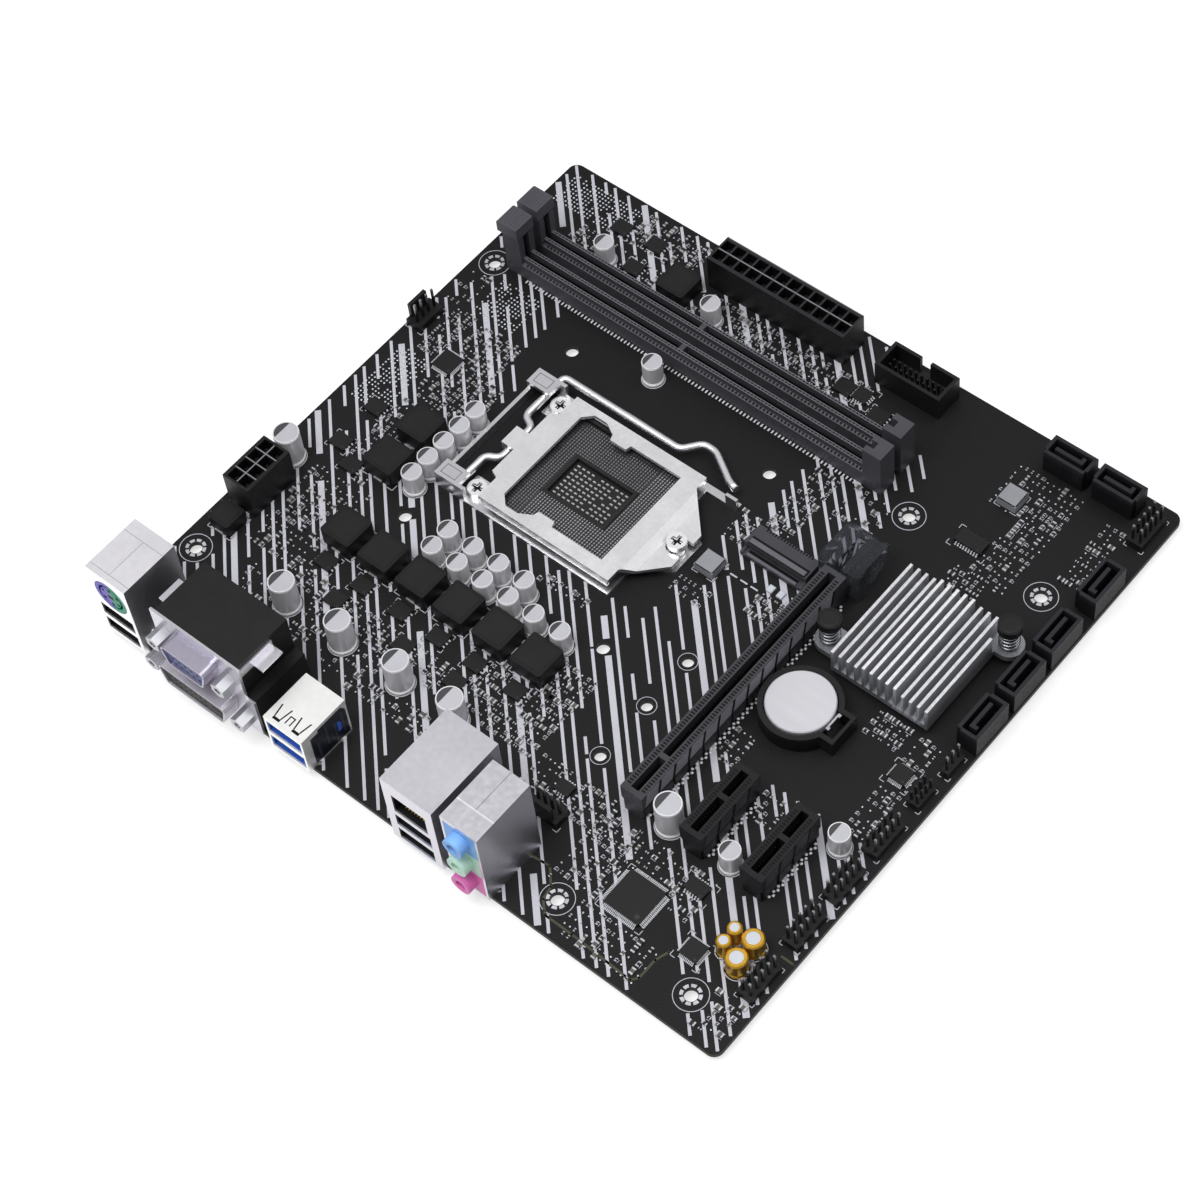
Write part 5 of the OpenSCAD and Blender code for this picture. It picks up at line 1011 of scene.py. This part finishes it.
def slot_windows():
    """Small openings over the contacts on the slots' upper faces, drawn as dark patches of painted shade, and
    the tinned tails at their feet.
    """
    holes = Form()
    tails = Form()
    for node in CARD_SLOTS:
        lo, hi = span(node)
        mid = (lo.y + hi.y) / 2
        end = contacts_end(lo, hi)
        for k in range(int((end - lo.x - 4) / 1.0)):
            x = lo.x + 2.4 + k * 1.0
            for side in (-2.45, 2.45):
                y = mid + side
                holes.block((x - 0.28, y - 0.65, hi.z - 0.05), (x + 0.28, y + 0.65, hi.z + 0.015))
            for y in (mid - (4.5 if k % 2 else 3.8), mid + 3.8):
                if y < mid or k % 2 == 0:
                    tails.lathe((x, y, 0), [(0.5, 0.01), (0.42, 0.15), (0.16, 0.3)], sides=8)
    for node in MEMORY_SLOTS:
        lo, hi = span(node)
        mid = (lo.x + hi.x) / 2
        count, first, pitch = 98, 7.6, 1.3
        for k in range(count):
            y = lo.y + first + k * pitch
            for side in (-1.7, 1.7):
                x = mid + side
                holes.block((x - 0.42, y - 0.36, MEMORY_RAIL - 0.05),
                            (x + 0.42, y + 0.36, MEMORY_RAIL + 0.015))
                near, far = (mid + math.copysign(d, side) for d in (2.3, 3.1))
                holes.loft([[(near, v, 5.8), (far, v, 5.8), (far, v, 6.0), (near, v, 6.3)]
                            for v in (y - 0.32, y + 0.32)])
            tails.bar((mid - 4.6, y), (mid - 3.5, y), 0.5, 0.01, 0.12)
            tails.lathe((mid + 3.65, y, 0), [(0.42, 0.01), (0.34, 0.15), (0.14, 0.45)], sides=8)
    holes.build("slot_windows", "painted_hole_shade", "dark_grey_plastic")
    tails.build("slot_tails", "dot", "tin_pin")


def slot_sides():
    """Ribs along the feet of the expansion slots, and slanted panels with slits between on their walls; the
    long slot's panels are painted lighter as painted light, the slits dark as painted shade.
    """
    ribs = Form()
    slits = Form()
    panels = {"panel_painted_light": Form(), "rib_grey": Form()}
    pitch, wide, lean = 6.3, 5.2, 1.2
    for node in CARD_SLOTS:
        finish = "panel_painted_light" if node == CARD_SLOTS[0] else "rib_grey"
        lo, hi = span(node)
        end = contacts_end(lo, hi)
        for k in range(int((end - lo.x - 2) / pitch)):
            x = lo.x + 1.0 + k * pitch
            for y0, y1 in ((lo.y + 0.1, lo.y + 0.75), (hi.y - 0.75, hi.y - 0.1)):
                ribs.block((x, y0, 0.8), (x + 4.9, y1, 4.6))
            for y, out in ((lo.y, -1), (hi.y, 1)):
                slanted(panels[finish], x, x + wide, lean, y, out * 0.06, 5.9, 10.9)
                slanted(slits, x + wide, x + pitch, lean, y, out * 0.015, 5.9, 10.9)
    ribs.build("slot_ribs", "rib_grey", "dark_grey_plastic")
    slits.build("slot_slit_shade", "painted_hole_shade", "dark_grey_plastic")
    panels["panel_painted_light"].build("slot_panels_long", "panel_painted_light", "dark_grey_plastic")
    panels["rib_grey"].build("slot_panels_short", "rib_grey", "black_plastic")


def slanted(form, x0, x1, lean, y, out, z0, z1):
    """Thin panel on a wall across y, its upper edge shifted along x by lean."""
    form.loft([[(x0, v, z0), (x1, v, z0), (x1 + lean, v, z1), (x0 + lean, v, z1)]
               for v in (y - 0.2 * out, y + out)])


def latch_ribs():
    """Finger ribs on the memory latches' heads, which ride with the latches."""
    for node in ("dimm_latch_a", "dimm_latch_b"):
        form = Form()
        lo, hi = span(node)
        for k in range(7):
            y = hi.y - 7.2 + k * 1.0
            form.block((lo.x + 0.6, y, hi.z - 0.1), (hi.x - 0.6, y + 0.5, hi.z + 0.2), 0.15)
        form.build(node + "_ribs", "latch_grey", "dark_grey_plastic", body=node)


# Processor socket

CONTACT_PITCH = 0.95


def socket_contacts():
    """Field of sprung contacts round the pit; those in the band where they lean away take a darker copy of
    the finish, painted shade.
    """
    lo, hi = span("socket_contacts")
    centre = (lo + hi) / 2
    pit = (8.4, 11.9)
    lean = 0.3
    forms = {"contact_tip": Form(), "contact_painted_shade": Form()}
    places = spaced(0, int((hi.x - lo.x - 0.4) / CONTACT_PITCH), CONTACT_PITCH)
    for x in places:
        for y in places:
            if abs(x) < pit[0] and abs(y) < pit[1]:
                continue
            away = y > pit[1] or (x > pit[0] and y > -pit[1])
            contact(forms["contact_painted_shade" if away else "contact_tip"], centre.x + x, centre.y + y,
                    lo.z - 0.02, hi.z - 0.05, -lean if away else lean)
    forms["contact_tip"].build("contact_field", "contact_tip", "gold_contact",
                               replaces=["socket_contacts"])
    forms["contact_painted_shade"].build("contact_field_far_shaded", "contact_painted_shade", "gold_contact")
    ground = Form()
    ground.frame(centre, pit, ((hi.x - lo.x) / 2, (hi.y - lo.y) / 2), lo.z - 0.03, lo.z + 0.03)
    ground.build("contact_ground", "field", "black_plastic")
    wall = Form()
    wall.frame(centre, (7.0, 10.5), (8.2, 11.7), lo.z - 0.03, lo.z + 0.45)
    wall.build("pit_frame", "lcp", "black_plastic")
    parts = Form()
    for x in spaced(centre.x, 8, 1.6):
        for y in spaced(centre.y, 11, 1.8):
            if draw.random() < 0.9:
                parts.block((x - 0.25, y - 0.5, 1.08), (x + 0.25, y + 0.5, 1.55), 0.08)
    parts.build("socket_pit_parts", "pit_part", "white_plastic")


def contact(form, x, y, z0, z1, lean):
    """One leaning contact blade."""
    w, t = 0.3, 0.2
    foot = [(x - w, y - t, z0), (x + w, y - t, z0), (x + w, y + t, z0), (x - w, y + t, z0)]
    form.loft([foot, [(px + lean * 0.5, py - lean * 0.9, z1) for px, py, _ in foot]])


# Lever of the socket, in plan about the socket's centre
LEVER_PATH = [(-24.6, 32.3), (-9, 32.3), (-7, 28.1), (7, 28.1), (9, 32.3), (26.8, 32.3), (26.8, -11.7),
              (32.4, -16.2), (32.4, -20.7), (26.2, -30.7), (25.4, -33.7)]
LEVER_R = 1.2
LEVER_Z = 3.6
LEVER_BEND = 1.92


def rounded(path, reach, steps=6):
    """Path with its corners rounded off over a length of reach on both sides."""
    points = [Vector(p) for p in path]
    made = [points[0]]
    for before, corner, after in zip(points, points[1:], points[2:]):
        ends = [corner + (p - corner).normalized() * min(reach, (p - corner).length / 2.2)
                for p in (before, after)]
        for k in range(steps + 1):
            t = k / steps
            made.append(ends[0] * (1 - t) ** 2 + corner * 2 * t * (1 - t) + ends[1] * t * t)
    return made + [points[-1]]


def smooth_lever():
    """Round wire of the load lever, bent without facets."""
    lo, hi = span("socket_contacts")
    centre = (lo + hi) / 2
    form = Form()
    path = rounded(LEVER_PATH, LEVER_BEND)
    form.tube([(centre.x + x, centre.y + y, LEVER_Z) for x, y in path], LEVER_R, 20)
    form.build("load_lever_wire", "lever", "nickel_steel", body="load_lever", replaces=["load_lever"])


def screw_recess_shade():
    """Dark floors of the cross recesses in the socket's screws: painted shade."""
    form = Form()
    for lo, hi in ALL_SOLIDS["ilm_screws"]:
        c = (lo + hi) / 2
        floor = hi.z - 1.0
        for w, l in ((1.75, 0.5), (0.5, 1.75)):
            form.block((c.x - w, c.y - l, floor - 0.02), (c.x + w, c.y + l, floor + 0.03 + 0.01 * (w > l)))
    form.build("screw_recess_shade", "painted_hole_shade", "nickel_steel")


# Springs


def push_pin_coils():
    """Smooth coils under the push pins' heads."""
    turns = 4
    wire = 0.35
    steps = 28
    for tag in ("a", "b"):
        form = Form()
        lo, hi = span("push_pin_spring_" + tag)
        centre = (lo + hi) / 2
        r = (hi.x - lo.x) / 2 - wire
        low, high = lo.z + wire, hi.z - wire
        path = []
        for k in range(turns * steps + 1):
            a = 2 * math.pi * k / steps
            t = k / (turns * steps)
            path.append((centre.x + r * math.cos(a), centre.y + r * math.sin(a), low + (high - low) * t))
        form.tube(path, wire, 10)
        coil = form.build("push_pin_coil_" + tag, "spring", "spring_wire",
                          replaces=["push_pin_spring_" + tag])
        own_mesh(coil)


def push_pin_caps():
    """Low rounded cap on each push pin's head, which rides with the pin."""
    for tag in ("a", "b"):
        form = Form()
        lo, hi = span("push_pin_" + tag)
        c = (lo + hi) / 2
        r = (hi.x - lo.x) / 2
        form.lathe((c.x, c.y, hi.z), [(r * 0.86, -0.02), (r * 0.86, 0.08), (r * 0.8, 0.16), (r * 0.62, 0.2)],
                   sides=32)
        form.build("push_pin_cap_" + tag, "black", "black_plastic", body="push_pin_" + tag)


# Rear ports

PIN_OUT = 0.02
PIN_DEEP = 0.1
TAB_Z = (-0.05, 0.01)


def video_pins(form):
    """Round holes of the upper video port, square ones and a blade of the lower, as dark patches of painted
    shade.
    """
    rows = 3
    lo, hi = span("vga_insert")
    drop, stagger = 2.0, 0.6
    for row in range(rows):
        z = (lo.z + hi.z) / 2 + (1 - row) * drop
        for y in spaced((lo.y + hi.y) / 2, 5, 2.3):
            form.lathe((lo.x - PIN_OUT, y + (1 - row) * stagger, z), [(0.45, 0), (0.45, PIN_DEEP)],
                       axis=0, sides=12)
    lo, hi = span("dvi_insert")
    shift, half = 2.6, 0.4
    x0, x1 = lo.x - PIN_OUT, lo.x + PIN_DEEP
    for row in range(rows):
        z = (lo.z + hi.z) / 2 + (1 - row) * drop
        for y in spaced((lo.y + hi.y) / 2 + shift, 8, 1.95):
            form.block((x0, y - half, z - half), (x1, y + half, z + half))
    z = (lo.z + hi.z) / 2
    form.block((x0, lo.y + 1.6, z - 0.3), (x1, lo.y + 5.4, z + 0.3))


def keyboard_pins(form):
    """Ring of holes and the key of the round socket, as dark patches of painted shade."""
    lo, hi = span("ps2_socket")
    c = (lo + hi) / 2
    ring = 3.2
    for k in range(6):
        a = math.radians(35 + 58 * k)
        form.lathe((lo.x - PIN_OUT, c.y + ring * math.cos(a), c.z + ring * math.sin(a)),
                   [(0.6, 0), (0.6, PIN_DEEP)], axis=0, sides=12)
    form.block((lo.x - PIN_OUT, c.y - 1.1, c.z - 0.6), (lo.x + PIN_DEEP, c.y + 1.1, c.z + 0.6))


def spring_tabs(form):
    """Cuts round the spring tabs on top of the two-port stack, as dark lines of painted shade."""
    lo, hi = span("usb3_stack_shell")
    mid = (lo.y + hi.y) / 2
    low, high = (hi.z + z for z in TAB_Z)
    for y in (mid - 3.6, mid + 3.6):
        form.bar((lo.x + 1.6, y - 1.3), (lo.x + 1.6, y + 1.3), 0.9, low, high)
        for k in (-1, 1):
            form.bar((lo.x + 2.1, y + k * 1.1), (lo.x + 6.2, y + k * 1.8), 0.45, low, high)
    for k in (-1, 1):
        form.bar((lo.x + 2.0, mid + k * 0.8), (lo.x + 4.4, mid + k * 0.8), 0.4, low, high)
    form.bar((lo.x + 4.6, mid - 1.0), (lo.x + 4.6, mid + 1.0), 0.4, low, high)


def port_details():
    """Pin holes and spring tabs of the rear ports, their openings dark with painted shade, and the contacts
    of the network port.
    """
    dark = Form()
    for detail in (video_pins, keyboard_pins, spring_tabs):
        detail(dark)
    dark.build("port_hole_shade", "painted_hole_shade", "black_plastic")
    wires = Form()
    lo, hi = span("lan_usb_shell")
    for y in spaced((lo.y + hi.y) / 2, 8, 1.02):
        wires.tube([(lo.x + 2.0, y, 17.2), (lo.x + 7.0, y, 19.6), (lo.x + 10.5, y, 21.0)], 0.16, 6)
    wires.build("network_contacts", "gold", "gold_contact")


def shell_seams():
    """Folds on top of the keyboard stack, and the cut-out side of the two-port stack."""
    seams = Form()
    lo, hi = span("ps2_usb_shell")
    low, high = hi.z - 0.04, hi.z + 0.008
    mid = (lo.y + hi.y) / 2
    for x in (lo.x + 2.0, lo.x + 15.6):
        seams.bar((x, lo.y + 0.2), (x, hi.y - 0.2), 0.14, low, high)
    seams.bar((lo.x + 2.2, mid), (lo.x + 15.4, mid), 0.14, low, high)
    seams.build("shell_seams", "seam", "tin_shell")
    lo, hi = span("usb3_stack_shell")
    side = Form()
    x0, x1, top = lo.x + 3.0, hi.x - 0.7, hi.z - 1.3
    side_plate(side, [(x0, 0.9), (x1, 0.9), (x1, top - 2.2), (x1 - 1.4, top), (x0 + 3.1, top),
                      (x0 + 3.1, top - 1.1), (x0, top - 1.1)], lo.y - 0.05, lo.y + 0.02)
    # The cut-out side is a dark navy plate: the blue insert behind it, with painted shade.
    side.build("stack_side", "navy", "blue_plastic")
    ribs = Form()
    for x, z0, z1 in ((5.0, 1.4, 9.0), (8.4, 4.0, 13.6), (11.6, 1.4, 10.5), (14.6, 3.0, 12.5)):
        ribs.block((lo.x + x, lo.y - 0.12, z0), (lo.x + x + 0.7, lo.y - 0.04, z1))
    ribs.build("stack_side_ribs", "navy_rib", "blue_plastic")
    blue = Form()
    x0, x1 = lo.x + 12.8, lo.x + 14.2
    side_plate(blue, [(x0, 5.0), (x1, 5.0), (x1, 8.2), (x1 - 0.5, 9.4), (x0, 9.4)], lo.y - 0.1, lo.y - 0.04)
    blue.build("stack_side_blue", "blue", "blue_plastic")


def side_plate(form, outline, y0, y1):
    """Thin plate across y with an outline of x and z."""
    form.loft([[(x, y, z) for x, z in outline] for y in (y0, y1)])


POWER_PITCH = 4.2
POWER_W = 10.2


def housing_highlights():
    """Painted highlights along the upper edges of the walls between the cells of both power connectors."""
    lo, hi = span("eps_power_housing")
    c = ((lo.x + hi.x) / 2, lo.y + POWER_W / 2)
    form = Form()
    form.bar((lo.x + 0.9, c[1]), (hi.x - 0.9, c[1]), 0.32, hi.z - 0.05, hi.z + 0.015)
    for x in spaced(c[0], 3, POWER_PITCH):
        form.bar((x, lo.y + 0.9), (x, lo.y + 9.3), 0.32, hi.z - 0.05, hi.z + 0.01)
    lo, hi = span("atx_power_housing")
    for x, width in ((lo.x + POWER_W / 2, 0.32), (lo.x + 10.05, 0.22)):
        form.bar((x, lo.y + 0.5), (x, hi.y - 0.5), width, hi.z - 0.05, hi.z + 0.012)
    form.build("housing_highlights", "cell_edge_highlight", "black_plastic")


def rail_highlights():
    """Painted highlights along the upper edges of the memory slots' rails and shoulders."""
    form = Form()
    for node in MEMORY_SLOTS:
        lo, hi = span(node)
        mid = (lo.x + hi.x) / 2
        for side in (-1, 1):
            for off, z in ((1.3, MEMORY_RAIL), (2.08, MEMORY_RAIL), (3.17, 5.93)):
                x = mid + side * off
                form.bar((x, lo.y + 6.6), (x, hi.y - 6.6), 0.24, z - 0.08, z + 0.02)
    form.build("rail_highlights", "rail_edge_highlight", "dark_grey_plastic")


def hinge_marks():
    """Stamped outline on each strap that holds the load lever down."""
    lo, hi = span("ilm_frame")
    form = Form()
    for x in (lo.x + 3.0, hi.x - 3.0):
        y = hi.y - 4.2
        form.frame((x, y), (1.5, 2.5), (1.85, 2.85), hi.z - 0.05, hi.z + 0.01)
    form.build("hinge_marks", "seam", "nickel_steel")


# Module slot

def module_slot_details():
    """Front rail, grooves and tails of the small module's slot."""
    lo, hi = span("m2_socket")
    # The rails take a lighter grey than the slot: painted highlight.
    rail = Form()
    rail.bar((lo.x + 0.5, lo.y + 2.2), (lo.x + 0.5, hi.y - 2.2), 0.9, 1.38, 1.9)
    rail.bar((lo.x + 3.6, lo.y + 1.2), (lo.x + 3.6, hi.y - 1.2), 1.5, hi.z - 0.05, hi.z + 0.03)
    rail.build("module_rails_highlit", "module_rail_highlight", "dark_grey_plastic")
    tails = Form()
    # Contact openings and grooves are dark patches: painted shade.
    dark = Form()
    for y in spaced((lo.y + hi.y) / 2, 34, 0.5)[::2]:
        tails.bar((hi.x - 0.05, y), (hi.x + 0.9, y), 0.34, 0.01, 0.16)
        dark.block((hi.x - 0.9, y - 0.25, hi.z - 0.05), (hi.x + 0.02, y + 0.25, hi.z + 0.012))
    dark.bar((lo.x + 1.6, lo.y + 2.2), (lo.x + 1.6, hi.y - 2.2), 1.1, 1.38, 1.45)
    for x, width in ((lo.x + 2.5, 0.5), (lo.x + 4.8, 0.7)):
        dark.bar((x, lo.y + 1.0), (x, hi.y - 1.0), width, hi.z - 0.05, hi.z + 0.012)
    dark.block((lo.x + 2.3, lo.y + 0.5, hi.z - 0.05), (lo.x + 5.2, lo.y + 1.0, hi.z + 0.01))
    tails.block((hi.x - 2.6, hi.y - 0.1, 0.01), (hi.x + 0.3, hi.y + 0.8, 0.4), 0.08)
    tails.build("module_tails", "solder", "tin_pin")
    dark.build("module_groove_shade", "painted_hole_shade", "dark_grey_plastic")


# Underside

SATA_PITCH = 1.27


def underside():
    """Solder joints below the through-hole parts."""
    form = Form()
    low = board_mm(BOARD_LO).z
    spots = []
    for node in ("header_pins", "power_pins"):
        spots += [(*middle(lo, hi), 0.75) for lo, hi in ALL_SOLIDS[node]]
    for node in (*CANS, GOLD_CANS):
        for lo, hi in ALL_SOLIDS[node]:
            spots += [((lo.x + hi.x) / 2, (lo.y + hi.y) / 2 + s, 0.8) for s in (-1.3, 1.3)]
    for node in MEMORY_SLOTS:
        lo, hi = span(node)
        mid = (lo.x + hi.x) / 2
        count, first, pitch = 72, 8, 1.72
        for k in range(count):
            spots += [(mid + s, lo.y + first + pitch * k + 0.4 * s, 0.5) for s in (-2.2, -0.8, 0.8, 2.2)]
    for node in CARD_SLOTS:
        lo, hi = span(node)
        mid = (lo.y + hi.y) / 2
        for k in range(int((contacts_end(lo, hi) - lo.x - 5) / 2)):
            spots += [(lo.x + 3 + 2 * k + (s > 0), mid + s, 0.55) for s in (-2.6, -1.0, 1.0, 2.6)]
    for lo, hi in ALL_SOLIDS["sata_ports"]:
        wide = hi.x - lo.x > hi.y - lo.y
        x, y = middle(lo, hi)
        for d in (SATA_PITCH * k for k in range(-3, 4)):
            spots.append((x + d, y, 0.5) if wide else (x, y + d, 0.5))
    for x, y, r in spots:
        form.lathe((x, y, low), [(r, 0.02), (r * 0.85, -0.35), (r * 0.35, -1.1), (r * 0.25, -1.3)], sides=9)
    form.build("solder_joints", "solder", "tin_pin")


print_stripes()
print_hole_marks()
print_border()
print_outlines()
small_parts()
dot_grids()
crystals()
package_leads()
choke_details()
capacitor_details()
edge_contacts()
slot_windows()
slot_sides()
latch_ribs()
module_slot_details()
socket_contacts()
smooth_lever()
screw_recess_shade()
push_pin_coils()
push_pin_caps()
port_details()
shell_seams()
housing_highlights()
rail_highlights()
hinge_marks()
underside()


# Stage, light and camera

VIEW_FROM = Vector((-246.28, -248.76, 712.89))
VIEW_AZIMUTH = 43.245
VIEW_DOWN = 56.219
VIEW_ROLL = -8.086
VIEW_LENS = 90.94
FLOOR_GLOW = 0.62


def place_camera():
    """Camera of the photograph: turned from +Y towards +X, tilted down and rolled."""
    turn, down, roll = (math.radians(a) for a in (VIEW_AZIMUTH, VIEW_DOWN, VIEW_ROLL))
    ahead = Vector((math.sin(turn) * math.cos(down), math.cos(turn) * math.cos(down), -math.sin(down)))
    level = ahead.cross(Vector((0, 0, 1))).normalized()
    upward = level.cross(ahead)
    right = math.cos(roll) * level + math.sin(roll) * upward
    above = right.cross(ahead)
    camera = bpy.data.objects.new("camera", bpy.data.cameras.new("camera"))
    camera.matrix_world = Matrix.Translation(VIEW_FROM * MM) @ Matrix(
        (right, above, -ahead)).transposed().to_4x4()
    camera.data.lens = VIEW_LENS
    camera.data.sensor_width = 36.0
    camera.data.clip_start = 0.01
    bpy.context.scene.collection.objects.link(camera)
    bpy.context.scene.camera = camera


def lamp(name, place, aim, size, watts):
    data = bpy.data.lights.new(name, "AREA")
    data.shape = "DISK"
    data.size = size
    data.energy = watts
    made = bpy.data.objects.new(name, data)
    made.location = place
    made.rotation_euler = (Vector(aim) - Vector(place)).to_track_quat("-Z", "Y").to_euler()
    bpy.context.scene.collection.objects.link(made)


def light_stage():
    centre = (CAD_BOX[0] + CAD_BOX[1]) / 2
    world = bpy.data.worlds.new("studio")
    world.use_nodes = True
    tree = world.node_tree
    back = tree.nodes["Background"]
    coords = tree.nodes.new("ShaderNodeTexCoord")
    parts = tree.nodes.new("ShaderNodeSeparateXYZ")
    ramp = tree.nodes.new("ShaderNodeValToRGB")
    ramp.color_ramp.elements[0].position = 0.0
    ramp.color_ramp.elements[0].color = (0.35, 0.36, 0.38, 1)
    ramp.color_ramp.elements[1].position = 0.9
    ramp.color_ramp.elements[1].color = (0.9, 0.9, 0.92, 1)
    tree.links.new(coords.outputs["Generated"], parts.inputs["Vector"])
    tree.links.new(parts.outputs["Z"], ramp.inputs["Fac"])
    tree.links.new(ramp.outputs["Color"], back.inputs["Color"])
    back.inputs["Strength"].default_value = 0.75
    bpy.context.scene.world = world
    lamp("key", centre + Vector((-0.4, 0.1, 0.98)), centre, 0.6, 7.4)
    lamp("fill", centre + Vector((0.35, -0.35, 1.0)), centre, 0.8, 3.2)


def lay_floor():
    """White floor that keeps the soft shadow."""
    half = 3.0
    depth = CAD_BOX[0].z - 0.2 * MM
    mesh = bpy.data.meshes.new("floor")
    mesh.from_pydata([(-half, -half, depth), (half, -half, depth), (half, half, depth), (-half, half, depth)],
                     [], [(0, 1, 2, 3)])
    floor = bpy.data.objects.new("floor", mesh)
    bpy.context.scene.collection.objects.link(floor)
    made = Finish("floor_white", specular=0.0)
    grain = made.noise(60.0)
    made.colour(made.mix(made.spread(grain, 0, 1), (0.40, 0.40, 0.40, 1), (0.43, 0.43, 0.43, 1)))
    made.bsdf.inputs["Roughness"].default_value = 0.9
    ray = made.node("ShaderNodeLightPath")
    seen = ray.outputs["Is Camera Ray"]
    for kind in ("Is Glossy Ray", "Is Transmission Ray"):
        seen = made.math("MAXIMUM", seen, ray.outputs[kind])
    glow = made.math("MULTIPLY", seen, FLOOR_GLOW)
    made.bsdf.inputs["Emission Color"].default_value = (1, 1, 1, 1)
    made.link(glow, made.bsdf.inputs["Emission Strength"])
    mesh.materials.append(made.material)


place_camera()
light_stage()
lay_floor()
bpy.context.scene.view_settings.view_transform = "Standard"
